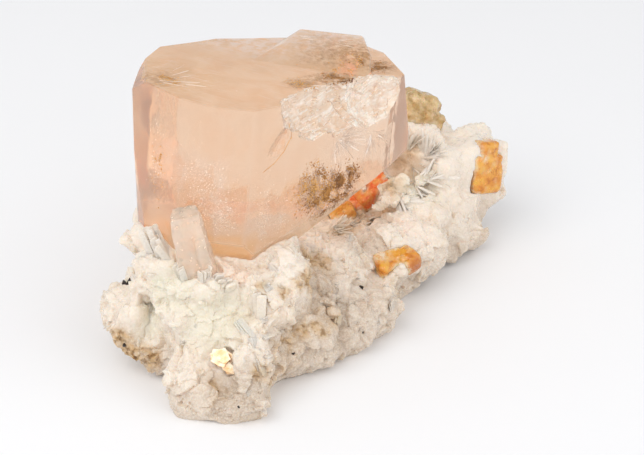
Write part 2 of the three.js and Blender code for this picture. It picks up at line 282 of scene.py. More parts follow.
def worked(obj, kind, **settings):
    """The mesh that a modifier makes of an object, which goes."""
    tool = obj.modifiers.new("tool", kind)
    for name, value in settings.items():
        setattr(tool, name, value)
    graph = bpy.context.evaluated_depsgraph_get()
    mesh = bpy.data.meshes.new_from_object(obj.evaluated_get(graph))
    bpy.data.objects.remove(obj)
    return mesh


def remeshed(node, voxel):
    """An even mesh over a copy of a CAD node's surface."""
    return worked(new_object("even", NODES[node].data.copy()), "REMESH", mode="VOXEL", voxel_size=voxel * MM)


def thinned(mesh, triangles):
    """The mesh with no more than a number of triangles, which stay dense where it is not flat."""
    now = sum(len(face.vertices) - 2 for face in mesh.polygons)
    return worked(new_object("thin", mesh), "DECIMATE", ratio=min(1.0, triangles / now))


def combined(base, tool, operation):
    """The base object with a tool object added to it or cut from it."""
    name = base.name
    finishes = list(base.data.materials)
    mesh = worked(base, "BOOLEAN", operation=operation, solver="EXACT", object=tool)
    bpy.data.objects.remove(tool)
    return new_object(name, mesh, *finishes)


def paint(mesh, name, **masks):
    """Stores up to four masks as one colour attribute of the mesh's points."""
    layers = list(masks.values())
    while len(layers) < 4:
        layers.append(np.ones(len(mesh.vertices)))
    colour = mesh.attributes.new(name, "FLOAT_COLOR", "POINT")
    colour.data.foreach_set("color", np.stack(layers, axis=1).astype(np.float32).ravel())


def tree_of(obj):
    """A search tree over an object's faces, in millimetres."""
    points = [v.co / MM for v in obj.data.vertices]
    return BVHTree.FromPolygons(points, [tuple(f.vertices) for f in obj.data.polygons])


def distances(tree, points, reach):
    """Distance from each point to the tree's surface, at most reach."""
    far = [tree.find_nearest(p, reach)[3] for p in points]
    return np.array([reach if f is None else f for f in far])


def turn_of(degrees):
    return Euler([math.radians(d) for d in degrees]).to_matrix()


def facing(direction, spin=0.0):
    """A rotation whose Z axis points along a direction."""
    q = Vector(direction).normalized().to_track_quat("Z", "Y")
    return q.to_matrix() @ Matrix.Rotation(spin, 3, "Z")


# ---- small closed forms: the points and faces of each ----
class Heap:
    """Many small closed forms gathered into one mesh."""

    def __init__(self):
        self.points = []
        self.faces = []

    def add(self, form, place, turn):
        points, faces = form
        start = len(self.points)
        self.points += [tuple(Vector(place) + turn @ Vector(p)) for p in points]
        self.faces += [tuple(start + i for i in face) for face in faces]

    def mesh(self):
        return mesh_from(self.points, self.faces)


def walls(low, high, sides):
    """The faces between two rings of points, given where each ring starts."""
    pairs = [(k, (k + 1) % sides) for k in range(sides)]
    return [(low + a, low + b, high + b, high + a) for a, b in pairs]


def flake(rng, radius, thick, sides):
    """A thin irregular polygon, lying flat."""
    rim = []
    for k in range(sides):
        angle = (k + rng.uniform(-0.25, 0.25)) * math.tau / sides
        reach = radius * rng.uniform(0.55, 1.0)
        rim.append((reach * math.cos(angle), reach * math.sin(angle)))
    points = [(x, y, z) for z in (-thick / 2, thick / 2) for x, y in rim]
    faces = [tuple(range(sides - 1, -1, -1)), tuple(range(sides, 2 * sides))]
    return points, faces + walls(0, sides, sides)


# The outline of a blade, as shares of its length and of its width.
BLADE = [(0, 0.55), (0.3, 0.9), (0.62, 1.0), (0.86, 0.82), (1.0, 0.42)]


def blade(rng, length, width, thick, bend=0.0):
    """An albite blade that grows along +Z: a thin plate, bent and narrowing to a chisel edge."""
    points = []
    for share, wide in BLADE:
        z = share * length
        lean = bend * share * share * length
        half = wide * width / 2
        deep = thick / 2 * (1 - 0.45 * share)
        skew = rng.uniform(-0.06, 0.06) * width
        points += [(skew + x, lean + y, z) for x, y in ((-half, 0), (0, -deep), (half, 0), (0, deep))]
    last = 4 * len(BLADE) - 4
    faces = [(3, 2, 1, 0), tuple(range(last, last + 4))]
    for ring in range(0, last, 4):
        faces += walls(ring, ring + 4, 4)
    return points, faces


def tablet(rng, length, width, thick):
    """An elongated six-sided plate with bevelled ends, standing on its short end along +Z."""
    slant = rng.uniform(0.1, 0.35) * width
    side = width / 2
    outline = [(-side, 0), (side, 0), (side, length - slant), (side - slant, length),
               (0.4 * slant - side, length), (-side, length - 0.8 * slant)]
    points = []
    for y, inset in ((thick / 2, 0.3 * thick), (0, 0), (-thick / 2, 0.3 * thick)):
        for x, z in outline:
            keep = 1 - inset / math.hypot(x, z - length / 2)
            points.append((x * keep, y, length / 2 + (z - length / 2) * keep))
    faces = [tuple(range(5, -1, -1)), tuple(range(12, 18))]
    return points, faces + walls(0, 6, 6) + walls(6, 12, 6)


def hull_of(points):
    """The closed hull of some points as a bmesh, with its coplanar triangles joined."""
    shape = bmesh.new()
    for p in points:
        shape.verts.new(p)
    bmesh.ops.convex_hull(shape, input=shape.verts)
    loose = [v for v in shape.verts if not v.link_faces]
    bmesh.ops.delete(shape, geom=loose, context="VERTS")
    bmesh.ops.remove_doubles(shape, verts=shape.verts, dist=0.02)
    bmesh.ops.dissolve_limit(shape, angle_limit=math.radians(1.5), verts=shape.verts, edges=shape.edges)
    return shape


def lump(rng, radius):
    """A small angular grain: the hull of a few points."""
    shape = hull_of([drift(rng).normalized() * radius * rng.uniform(0.7, 1.1) for _ in range(14)])
    shape.verts.index_update()
    form = ([v.co[:] for v in shape.verts], [[v.index for v in f.verts] for f in shape.faces])
    shape.free()
    return form


# ---- materials ----
class Finish:
    """A material's node tree, with short calls that add nodes. Its colour is built up in layers."""

    def __init__(self, name, colour):
        self.material = bpy.data.materials.new(name)
        self.material.use_nodes = True
        self.tree = self.material.node_tree
        self.shader = self.tree.nodes["Principled BSDF"]
        self.place = self.add("ShaderNodeTexCoord").outputs["Object"]
        self.colour = colour

    def add(self, kind, **settings):
        node = self.tree.nodes.new(kind)
        for name, value in settings.items():
            setattr(node, name, value)
        return node

    def give(self, socket, value):
        """Links another node's output to a socket, or sets the socket's own value."""
        if isinstance(value, bpy.types.NodeSocket):
            self.tree.links.new(value, socket)
        elif socket.type == "RGBA":
            socket.default_value = (*value, 1.0)
        else:
            socket.default_value = value

    def feed(self, node, **inputs):
        for name, value in inputs.items():
            self.give(node.inputs[name.replace("_", " ")], value)

    def surface(self, **inputs):
        """Sets the shader's inputs, and gives back the material."""
        self.feed(self.shader, Base_Color=self.colour, **inputs)
        return self.material

    def glow(self, weight, radius, depth):
        """Lets light spread under the surface, to a depth in millimetres."""
        self.surface(Subsurface_Weight=weight, Subsurface_Radius=radius, Subsurface_Scale=depth * MM)

    def absorb(self, colour, density):
        node = self.add("ShaderNodeVolumeAbsorption")
        self.feed(node, Color=colour, Density=density)
        self.feed(self.tree.nodes["Material Output"], Volume=node.outputs[0])

    def over(self, share, colour):
        """Lays a colour over the others: none of it where share is 0, nothing else where it is 1."""
        node = self.add("ShaderNodeMix", data_type="RGBA")
        for number, value in ((0, share), (6, self.colour), (7, colour)):
            self.give(node.inputs[number], value)
        self.colour = node.outputs[2]

    def noise(self, size, detail=4.0, rough=0.55, twist=0.0):
        """Cloudy noise with features of a size in millimetres."""
        node = self.add("ShaderNodeTexNoise")
        self.feed(node, Vector=self.place, Scale=1 / (size * MM), Detail=detail)
        self.feed(node, Roughness=rough, Distortion=twist)
        return node.outputs["Fac"]

    def streaks(self, way, length, width, detail=3.0):
        """Noise drawn out along a direction: features of a length and a width in millimetres."""
        turned = self.add("ShaderNodeMapping", vector_type="TEXTURE")
        turn = Vector(way).to_track_quat("X", "Z").to_euler()
        self.feed(turned, Vector=self.place, Rotation=turn, Scale=(length * MM, width * MM, width * MM))
        node = self.add("ShaderNodeTexNoise")
        self.feed(node, Vector=turned.outputs[0], Scale=1.0, Detail=detail)
        return node.outputs["Fac"]

    def grains(self, size, output="Distance"):
        node = self.add("ShaderNodeTexVoronoi")
        self.feed(node, Vector=self.place, Scale=1 / (size * MM))
        return node.outputs[output]

    def between(self, value, low, high, start=0.0, end=1.0):
        """Start where a value is at most low, end where it is at least high, and even steps between."""
        node = self.add("ShaderNodeMapRange")
        for socket, number in zip(node.inputs, (value, low, high, start, end)):
            self.give(socket, number)
        return node.outputs[0]

    def both(self, kind, operation, a, b):
        node = self.add(kind, operation=operation)
        self.give(node.inputs[0], a)
        self.give(node.inputs[1], b)
        return node

    def times(self, a, b):
        return self.both("ShaderNodeMath", "MULTIPLY", a, b).outputs[0]

    def plus(self, a, b):
        return self.both("ShaderNodeMath", "ADD", a, b).outputs[0]

    def leaves(self, patch, spacing):
        """Fine parallel leaves, turned their own way in each patch: a saw-toothed height."""
        way = self.both("ShaderNodeVectorMath", "SUBTRACT", self.grains(patch, "Color"), (0.5, 0.5, 0.5))
        along = self.both("ShaderNodeVectorMath", "DOT_PRODUCT", way.outputs[0], self.place)
        turns = self.times(along.outputs["Value"], 2 / (spacing * MM))
        return self.both("ShaderNodeMath", "FRACT", turns, 0.0).outputs[0]

    def masks(self, name):
        """The three masks that paint() stored under a name."""
        attribute = self.add("ShaderNodeAttribute", attribute_name=name)
        parts = self.add("ShaderNodeSeparateColor")
        self.give(parts.inputs[0], attribute.outputs["Color"])
        return parts.outputs[:3]

    def bump(self, height, depth, under=None, strength=1.0):
        """Relief of a depth in millimetres."""
        node = self.add("ShaderNodeBump")
        self.feed(node, Height=height, Distance=depth * MM, Strength=strength)
        if under is not None:
            self.feed(node, Normal=under)
        return node.outputs[0]


WHITE = (0.90, 0.79, 0.68)
# TAN is laid by the tan mask: the rock's own tan, and painted shade on low, sunken and shaded places.
TAN = (0.56, 0.44, 0.33)
GREENISH = (0.80, 0.75, 0.60)
PINKISH = (0.90, 0.70, 0.56)
# STAIN_AND_SHADE and DARK_STAIN_AND_SHADE are laid by the stain mask: stain, and painted shade in creases,
# hollows and under the beryl's edge.
STAIN_AND_SHADE = (0.62, 0.40, 0.18)
OLIVE = (0.50, 0.38, 0.20)
DARK_STAIN_AND_SHADE = (0.26, 0.14, 0.05)
GROWTH_WAY = (0.09, 0.1, 1.0)    # the beryl's long axis, which the faint lines on its sides follow
SATIN_WAY = (0.75, 0.62, 0.24)   # the streaks of its broken rim run along this
BERYL_IOR = 1.58


def albite_finish():
    f = Finish("albite", WHITE)
    stain, green, pink = f.masks("tint")
    tan = f.masks("tone")[0]
    f.over(f.times(f.between(f.noise(4.0), 0.35, 0.7), 0.6), (0.86, 0.77, 0.66))
    f.over(f.times(f.between(f.noise(0.9, 6), 0.35, 0.7), 0.4), (0.80, 0.70, 0.58))
    # The tan mask is partly painted shade: low faces that do not face up, sunken places and the rock below
    # the beryl.
    f.over(f.times(tan, f.between(f.noise(3.5, 5), 0.3, 0.6, 0.5)), TAN)
    f.over(green, GREENISH)
    f.over(pink, PINKISH)
    f.over(f.between(f.noise(0.32, 2), 0.42, 0.62, 0.0, 0.3), (0.97, 0.90, 0.82))
    # The stain mask is partly painted shade: the creases, the sunken places and the rock under the beryl's
    # right-hand edge.
    f.over(f.times(stain, f.between(f.noise(1.8, 6, 0.7), 0.3, 0.55, 0.15)), STAIN_AND_SHADE)
    f.over(f.times(f.between(stain, 0.45, 0.9), f.between(f.noise(1.1, 5), 0.48, 0.62)), DARK_STAIN_AND_SHADE)
    glint = f.between(f.grains(0.5, "Color"), 0.2, 0.9, 0.2, 0.75)
    leafy = f.bump(f.leaves(2.2, 0.6), 0.10, strength=0.5)
    grainy = f.bump(f.grains(0.45), 0.10, leafy, 0.5)
    f.glow(0.45, (1.0, 0.8, 0.6), 1.4)
    return f.surface(Roughness=glint, Normal=f.bump(f.noise(0.25, 3), 0.06, grainy, 0.6), IOR=1.53)


def blade_finish():
    f = Finish("albite_blades", (0.93, 0.86, 0.77))
    stain = f.masks("tint")[0]
    f.over(f.between(f.noise(2.5), 0.35, 0.7), (0.87, 0.78, 0.67))
    # Olive where the stain mask reaches: stain, and painted shade under the beryl's right-hand edge.
    f.over(f.times(stain, f.between(f.noise(1.5), 0.3, 0.6, 0.4, 0.9)), OLIVE)
    rough = f.between(f.noise(0.6), 0.3, 0.7, 0.2, 0.45)
    f.glow(0.4, (1.0, 0.85, 0.7), 1.0)
    return f.surface(Roughness=rough, Normal=f.bump(f.noise(0.22, 3), 0.03), IOR=1.53)


def beryl_finish():
    f = Finish("beryl", (0.97, 0.85, 0.73))
    worn, milk, deep = f.masks("zone")
    f.over(f.between(f.noise(6.0, 5, 0.6, 0.6), 0.35, 0.7), (0.95, 0.75, 0.60))
    f.over(f.between(f.streaks(GROWTH_WAY, 14.0, 0.7), 0.56, 0.7, 0.0, 0.5), (1.0, 0.88, 0.78))
    f.over(deep, (0.98, 0.70, 0.43))
    f.over(f.times(milk, f.between(f.noise(3.0, 6, 0.65), 0.35, 0.6)), (1.0, 0.94, 0.88))
    # Lighter along the edges: frosted wear, and painted highlight for the light lines along them.
    f.over(f.times(worn, 0.4), (1.0, 0.92, 0.84))
    etched = f.between(f.noise(7.0, 5, 0.6), 0.5, 0.68, 0.02, 0.1)
    misty = f.times(milk, f.between(f.noise(2.4, 6, 0.7), 0.42, 0.62, 0.0, 0.22))
    rough = f.plus(f.times(worn, 0.15), f.plus(etched, misty))
    waves = f.bump(f.noise(5.0, 3), 0.12)
    f.absorb((0.94, 0.62, 0.24), 21.0)
    return f.surface(Roughness=rough, Normal=f.bump(f.noise(0.5, 3), 0.02, waves, 0.5), IOR=BERYL_IOR,
                     Transmission_Weight=0.78)


def top_finish():
    """The beryl's flat end: dusted with a fine golden haze, scratched and scaled."""
    f = Finish("beryl_top", (0.96, 0.72, 0.48))
    haze, rim, brown = f.masks("top")
    f.over(f.between(f.noise(6.0, 4, 0.5, 0.8), 0.35, 0.65), (0.90, 0.60, 0.34))
    f.over(f.times(haze, f.between(f.noise(3.2, 7, 0.66, 0.8), 0.38, 0.6, 0.1, 0.8)), (0.80, 0.50, 0.22))
    scratched = f.between(f.streaks((0.8, 0.5, 0), 5.0, 0.3), 0.58, 0.68, 0.0, 0.7)
    f.over(f.times(haze, scratched), (1.0, 0.86, 0.72))
    f.over(f.between(f.streaks((0.9, -0.5, 0), 7.0, 0.25), 0.6, 0.7, 0.0, 0.7), (1.0, 0.82, 0.66))
    f.over(f.times(rim, f.between(f.noise(1.6, 6, 0.7), 0.4, 0.6)), (1.0, 0.93, 0.86))
    rusty = f.times(brown, f.between(f.noise(1.3, 7, 0.75), 0.42, 0.54))
    f.over(rusty, (0.54, 0.31, 0.10))
    f.over(f.times(rusty, f.between(f.noise(0.7, 6, 0.7), 0.5, 0.62)), (0.30, 0.15, 0.05))
    rough = f.between(f.noise(4.0, 4), 0.35, 0.65, 0.1, 0.25)
    f.absorb((0.94, 0.62, 0.22), 18.0)
    f.surface(Sheen_Weight=0.3, Sheen_Roughness=0.5, Sheen_Tint=(1.0, 0.8, 0.6))
    return f.surface(Roughness=rough, Normal=f.bump(f.noise(3.0, 3, 0.5), 0.03), IOR=BERYL_IOR,
                     Transmission_Weight=0.5)


def chip_finish(name, clear, frost_from):
    """Broken beryl: cream where it is clear, and frosted white."""
    f = Finish(name, (0.82, 0.62, 0.46))
    f.over(f.between(f.noise(2.6, 7, 0.7, 0.6), frost_from, frost_from + 0.22), (0.96, 0.86, 0.77))
    satin = f.streaks(SATIN_WAY, 5.0, 0.5, 5.0)
    f.over(f.between(satin, 0.52, 0.68, 0.0, 0.55), (0.80, 0.58, 0.41))
    f.over(f.between(satin, 0.36, 0.46, 0.7, 0.0), (1.0, 0.94, 0.88))
    rough = f.between(f.noise(0.9, 4), 0.35, 0.65, 0.04, 0.3)
    scales = f.bump(f.noise(1.0, 5, 0.6), 0.12, f.bump(satin, 0.3), 0.7)
    f.glow(0.4, (1.0, 0.8, 0.65), 1.5)
    return f.surface(Roughness=rough, Normal=scales, IOR=BERYL_IOR, Transmission_Weight=clear)


def veil_finish():
    f = Finish("veil", (1.0, 0.95, 0.9))
    f.over(f.between(f.noise(1.2, 5), 0.4, 0.6), (1.0, 0.85, 0.72))
    waves = f.bump(f.noise(1.5, 4), 0.05)
    return f.surface(Roughness=0.04, Normal=waves, IOR=1.36, Transmission_Weight=0.9)


def speck_finish(name, light, dark, rough):
    """Opaque mottled stuff between two colours."""
    f = Finish(name, light)
    f.over(f.between(f.noise(1.2, 4), 0.38, 0.62), dark)
    return f.surface(Roughness=rough, Normal=f.bump(f.noise(0.2, 3), 0.03))


def gem_finish(name, light, deep, rim, size=1.4, clear=0.15):
    """A cloudy coloured crystal, with rusty places and a pale crust where it is painted so."""
    f = Finish(name, light)
    crust, rust, _ = f.masks("tint")
    f.over(f.between(f.noise(size, 6, 0.65), 0.38, 0.6), deep)
    f.over(f.between(f.noise(1.1, 4, 0.6), 0.56, 0.68, 0.0, 0.7), rim)
    f.over(rust, rim)
    f.over(f.times(crust, f.between(f.noise(0.8, 6, 0.7), 0.35, 0.55, 0.1)), (0.97, 0.80, 0.56))
    rough = f.between(f.noise(0.7, 4), 0.3, 0.7, 0.08, 0.32)
    steps = f.bump(f.noise(0.8, 5, 0.6), 0.07, strength=0.6)
    f.glow(0.3, (1.0, 0.45, 0.12), 1.0)
    f.surface(Coat_Weight=0.3, Coat_Roughness=0.1)
    return f.surface(Roughness=rough, Normal=steps, IOR=1.6, Transmission_Weight=clear)


def quartz_finish():
    f = Finish("quartz", (1.0, 0.88, 0.77))
    f.over(f.between(f.noise(2.2, 5), 0.35, 0.7), (1.0, 0.78, 0.63))
    rough = f.between(f.noise(0.8, 4), 0.35, 0.7, 0.06, 0.3)
    lines = f.bump(f.noise(0.7, 6, 0.7), 0.12)
    f.glow(0.4, (1.0, 0.85, 0.75), 2.0)
    return f.surface(Roughness=rough, Normal=lines, IOR=1.54, Transmission_Weight=0.6)


def mica_finish():
    f = Finish("mica", (0.95, 0.78, 0.58))
    f.over(f.between(f.noise(1.6, 3), 0.42, 0.65), (0.80, 0.46, 0.20))
    rough = f.between(f.noise(1.2, 3), 0.3, 0.7, 0.16, 0.34)
    return f.surface(Roughness=rough, Normal=f.bump(f.noise(1.4, 3), 0.05), Metallic=0.45, IOR=1.6)


def floor_finish():
    f = Finish("paper", (0.92, 0.92, 0.93))
    f.over(f.noise(60.0, 2), (0.94, 0.94, 0.95))
    return f.surface(Roughness=0.9, Normal=f.bump(f.noise(1.0, 3), 0.01))


# ---- the rock ----
ROCK_VOXEL = 0.28
ROCK_TRIANGLES = 190000
SETTING = 0.22   # how far the rock creeps in round the small crystals
NOT_SET = ("beryl_crystal", "mica_book", "orange_crystal_right")
# Where the rock's colour or form changes: a place, its radius and its strength.
# The places on the last two lines, round the beryl's overhanging right-hand edge, are painted shade under
# that edge as well as stain.
STAINED_AND_SHADED_PLACES = [
    ((-34.5, -22.6, 6.4), 4.2, 1.0), ((-32.3, -23.4, 5.2), 4.2, 1.0), ((-29.5, -24.5, 4.4), 3.4, 1.0),
    ((-19.6, -33.4, 8.1), 1.3, 1.0), ((-16.6, -33.9, 5.6), 1.4, 0.8), ((-17.1, -34.7, 5.2), 0.8, 1.0),
    ((-1.3, -17.0, 17.1), 3.4, 0.9), ((1.0, -6.6, 14.2), 3.6, 0.9), ((-8.8, -22.5, 19.0), 1.6, 0.9),
    ((-5.2, -22.4, 17.9), 1.8, 0.8), ((-2.7, -20.4, 17.7), 2.0, 0.9), ((4.0, -19.0, 9.9), 3.0, 0.6),
    ((6.2, 10.8, 11.0), 3.4, 0.8), ((10.5, 15.0, 11.0), 4.0, 0.8), ((14.0, 16.0, 12.4), 3.0, 0.9),
    ((-1.7, -23.4, 9.1), 2.2, 0.9), ((-4.4, -24.0, 8.3), 1.8, 0.9), ((1.3, -22.3, 9.5), 2.0, 0.9),
    ((-8.6, -32.7, 7.6), 2.2, 0.9), ((6.2, 16.3, 10.5), 5.0, 0.8), ((10.3, 22.4, 9.8), 5.0, 0.8),
    ((15.0, 16.5, 17.1), 4.0, 0.75), ((18.2, 24.3, 18.0), 4.5, 0.75), ((19.5, 24.0, 21.5), 3.0, 0.8),
    ((20.3, 20.5, 18.6), 2.4, 0.55), ((12.9, 11.4, 16.2), 3.0, 0.6),
]
GREENS = [
    ((-29.2, -20.0, 10.1), 5.0, 0.7), ((-24.3, -21.6, 17.4), 6.0, 0.8), ((-17.2, -24.6, 13.1), 8.0, 0.8),
    ((-26.9, -21.4, 18.8), 2.0, 1.0), ((20.0, 18.4, 15.6), 7.0, 0.5),
]
PINKS = [((-12.8, -20.1, 20.2), 3.0, 0.8), ((-15.9, -20.3, 20.8), 3.0, 0.7), ((18.6, 8.3, 13.5), 5.0, 0.3)]
# Tan places, and painted shade: those in the lower right and below the beryl darken where the rock lies in
# shade.
TAN_AND_SHADE_PLACES = [
    ((2.0, -20.0, 8.0), 11.0, 1.0), ((-5.0, -24.0, 6.0), 9.0, 1.0), ((14.0, -12.0, 5.0), 9.0, 0.7),
    ((0.0, -12.0, 13.0), 9.0, 0.9), ((-8.6, -33.0, 6.0), 5.0, 0.9), ((30.0, 8.0, 6.0), 10.0, 0.6),
    ((-14.0, -36.5, 4.5), 7.0, 1.0), ((22.0, 0.0, 5.0), 8.0, 0.6), ((7.0, -15.0, 10.0), 7.0, 0.9),
    ((8.0, 2.0, 13.0), 6.0, 0.7),
]
KNOBBY = [((6.8, -15.0, 9.0), 13.0, 1.0), ((14.9, -9.0, 8.5), 9.0, 1.0), ((-1.7, -23.4, 7.0), 9.0, 0.8)]
WAXY = [
    ((-17.2, -24.6, 13.1), 9.0, 0.5), ((-29.2, -20.0, 11.0), 6.0, 0.6), ((29.5, 23.0, 19.0), 14.0, 1.0),
    ((20.0, 24.0, 20.0), 8.0, 0.9), ((34.0, 12.0, 10.0), 9.0, 0.9), ((22.0, 9.0, 12.5), 6.0, 0.4),
    ((-31.0, -11.5, 22.0), 5.0, 0.8), ((13.0, -9.0, 8.0), 5.0, 0.6), ((14.0, 15.1, 11.9), 4.5, 0.9),
]
# Broad swellings and hollows: the last number is the height.
SWELLS = [((-29.8, -20.0, 11.4), 4.0, 1.2), ((24.5, 15.0, 12.8), 4.0, 1.0), ((21.0, 10.0, 12.5), 5.0, 0.7),
          ((27.5, 13.5, 6.0), 4.5, -1.0)]


def rock_relief(points):
    """Height added to the rock along its normal, and how near the edges of its faces each point is."""
    knobby = blobs(points, KNOBBY)
    waxy = blobs(points, WAXY)
    bent = shaken(points, 0.45, 2.0, 70)
    coarse, coarse_edge = broken(bent, 4.6, 0.4, 0.7, 11)
    bladed, bladed_edge = laths(bent, 4.4, 1.25, 0.5, 0.3, 23)
    grain = knobs(bent, 2.6, 51)
    lumps = knobs(bent, 5.6, 57)
    height = 0.55 * coarse * (1 - 0.8 * waxy) * (1 - 0.3 * knobby)
    height += 0.65 * bladed * (1 - 0.75 * waxy) * (1 - 0.3 * knobby)
    height += knobby * (1.1 * grain - 0.5)
    height += (1 - knobby) * (1 - 0.7 * waxy) * (0.9 * lumps - 0.4)
    height += 0.06 * noise(points, 1.0, 5)
    for place, radius, rise in SWELLS:
        height += rise * blobs(points, [(place, radius, 1.0)])
    edge = np.maximum(coarse_edge * 0.8, bladed_edge * 0.5)
    return height, edge * (1 - 0.6 * waxy)


def tinted(mesh, points, normals, edge, sunk):
    """Paints the masks of the albite finish: stained, green, pink and tan places. Stain and tan also carry
    painted shade: darker in the creases between faces, in sunken places and on low faces that do not face up.
    """
    where = shaken(points, 1.2, 2.4, 90)
    # Painted shade: the stain grows in the creases between faces and in sunken places, and a little lies
    # along every crease.
    stain = blobs(where, STAINED_AND_SHADED_PLACES) * (0.7 + 0.3 * np.maximum(edge, sunk))
    stain = np.maximum(stain, 0.3 * edge * eased(noise(points, 6.0, 9), 0.0, 0.6))
    paint(mesh, "tint", stain=stain, green=blobs(points, GREENS), pink=blobs(points, PINKS))
    # Painted shade: tan towards the bottom on faces that do not face up, and in the sunken places.
    under = (1 - eased(where[:, 2], 3.0, 14.0)) * (1 - eased(normals[:, 2], 0.2, 0.9))
    tan = np.maximum(blobs(where, TAN_AND_SHADE_PLACES), 0.4 * sunk)
    paint(mesh, "tone", tan=np.maximum(tan, 0.75 * under))


def rock_piece():
    mesh = remeshed("matrix", ROCK_VOXEL)
    points = mesh_points(mesh)
    normals = rows_of(mesh.vertex_normals, "vector")
    height, edge = rock_relief(points)
    gaps = {name: distances(tree_of(node), points, 3.0) for name, node in NODES.items() if name != "matrix"}
    room = np.min(list(gaps.values()), axis=0)
    setting = np.min([gap for name, gap in gaps.items() if name not in NOT_SET], axis=0)
    limit = 0.05 + 0.55 * np.clip(room - 0.2, 0, None)
    height = np.clip(height, -limit, limit) + SETTING * (1 - eased(setting, 0.3, 1.3))
    height *= eased(points[:, 2], 0.15, 1.6)
    low, high = np.array(CAD_BOX) / MM
    moved = np.clip(points + normals * height[:, None], low, high)
    moved[points[:, 2] < 0.15, 2] = 0
    move_points(mesh, moved)
    tinted(mesh, points, normals, edge, eased(-height, 0.1, 0.9))
    mesh = thinned(mesh, ROCK_TRIANGLES)
    shade(mesh, 32)
    return placed(new_object("rock", mesh, albite_finish()), "matrix")


# ---- blades and plates of albite on the rock ----
# Fans of blades that lie along the rock: where each starts, the way it spreads, how many pairs of
# blades, their length, and the angle to each side.
FANS = [
    ((4.2, 9.9, 11.0), (0.9, -0.3, 0.2), 8, 3.6, 50), ((7.2, 12.0, 11.1), (1.0, -0.2, 0.3), 9, 4.2, 55),
    ((11.6, 15.7, 12.5), (0.9, -0.5, 0.3), 9, 4.0, 50), ((16.5, 14.9, 15.3), (0.8, -0.6, 0.2), 10, 4.4, 60),
    ((20.0, 18.4, 15.6), (0.9, -0.6, 0.0), 11, 4.8, 60), ((21.9, 19.9, 18.0), (1.0, 0.0, 0.4), 12, 5.6, 55),
    ((21.5, 22.0, 20.6), (0.7, 0.2, 0.9), 12, 5.4, 60), ((18.6, 22.5, 18.6), (0.6, -0.3, -0.6), 9, 4.4, 60),
    ((22.9, 21.5, 21.6), (1.0, 0.3, 0.3), 10, 3.8, 60), ((18.5, 24.5, 21.5), (0.5, 0.1, 1.0), 8, 4.6, 45),
]
FAN_LIFT = 0.14   # how far the blades point away from the rock
FAN_ROOT = 0.35   # how deep they are rooted in it


def fans_piece(tree):
    rng = random.Random(21)
    heap = Heap()
    for start, to, pairs, size, spread in FANS:
        root, outward = tree.find_nearest(Vector(start))[:2]
        along = Vector(to)
        along = (along - outward * along.dot(outward)).normalized()
        for _ in range(2 * pairs):
            way = swung(rng, along, spread, outward)
            way += outward * (FAN_LIFT + rng.uniform(-0.15, 0.25))
            length = size * rng.uniform(0.6, 1.15)
            form = blade(rng, length, rng.uniform(0.4, 1.0), rng.uniform(0.2, 0.36), rng.uniform(-0.08, 0.08))
            seat = tree.find_nearest(root + jolt(rng, 1.0))[0] - outward * FAN_ROOT
            heap.add(form, seat, facing(way, rng.uniform(0, math.pi)))
    mesh = heap.mesh()
    # Half of the rock's stain mask, which round the beryl's edge is painted shade.
    paint(mesh, "tint", stain=0.5 * blobs(mesh_points(mesh), STAINED_AND_SHADED_PLACES))
    return placed(new_object("albite_fans", mesh, blade_finish()))


# Larger plates, each a sheaf of a few leaves: where its foot is, the way it grows, the way its flat
# side faces, how many leaves, and the length, width and thickness of a leaf.
SHEAVES = [
    ((-9.0, -24.6, 12.6), (0, 0.1, 1), (-0.1, -1, 0.2), 3, (5.8, 2.3, 0.7)),
    ((-14.8, -22.4, 18.4), (0.2, -0.3, 1), (0.5, -0.8, 0.3), 4, (2.0, 2.0, 0.55)),
    ((-24.6, -19.2, 20.6), (-0.55, 0.2, 1), (0.2, -1, 0.2), 8, (7.0, 1.3, 0.22)),
    ((-26.0, -18.6, 20.6), (-0.45, 0.35, 1), (-0.2, -1, 0.3), 8, (7.5, 1.3, 0.22)),
    ((-27.6, -17.6, 20.6), (-0.3, 0.4, 1), (-0.4, -1, 0.3), 7, (6.6, 1.4, 0.22)),
    ((-30.8, -17.6, 20.4), (0.9, 0.1, 0.45), (-0.3, -0.8, 0.6), 3, (5.6, 3.6, 0.6)),
    ((-22.4, -22.2, 19.4), (-0.2, -0.1, 1), (0.5, -1, 0.3), 6, (4.0, 1.5, 0.24)),
    ((-19.2, -22.6, 19.2), (0.15, -0.1, 1), (-0.7, -0.8, 0.2), 6, (3.9, 1.6, 0.24)),
    ((-17.4, -22.6, 18.6), (0.5, -0.1, 1), (0.7, -0.9, 0.4), 6, (3.2, 1.4, 0.24)),
    ((-13.2, -26.2, 14.0), (0.55, -0.45, -0.6), (0.75, -0.6, 0.4), 5, (4.6, 1.7, 0.26)),
    ((-10.6, -28.8, 12.2), (0.15, -0.5, -0.85), (0.85, -0.5, 0.3), 5, (4.8, 1.7, 0.26)),
    ((-9.6, -31.2, 9.6), (0.2, -0.4, -0.9), (0.8, -0.5, 0.4), 5, (4.0, 1.6, 0.26)),
]
SMALL_SHEAVES = 90


def add_sheaf(heap, rng, foot, grows, faces, leaves, size):
    """Leaves side by side, which fan out a little from a common foot."""
    grows = Vector(grows).normalized()
    across = Vector(faces).cross(grows).normalized()
    through = grows.cross(across)
    length, width, thick = size
    for leaf in range(leaves):
        step = leaf - (leaves - 1) / 2
        form = tablet(rng, length * rng.uniform(0.75, 1.05), width * rng.uniform(0.7, 1.05), thick)
        way = (grows + through * step * 0.07 + across * rng.uniform(-0.12, 0.12)).normalized()
        side = (across - way * across.dot(way)).normalized()
        turn = Matrix((side, way.cross(side), way)).transposed()
        shift = through * step * thick * 0.8 + across * rng.uniform(-0.2, 0.2) * width
        heap.add(form, Vector(foot) + shift, turn)


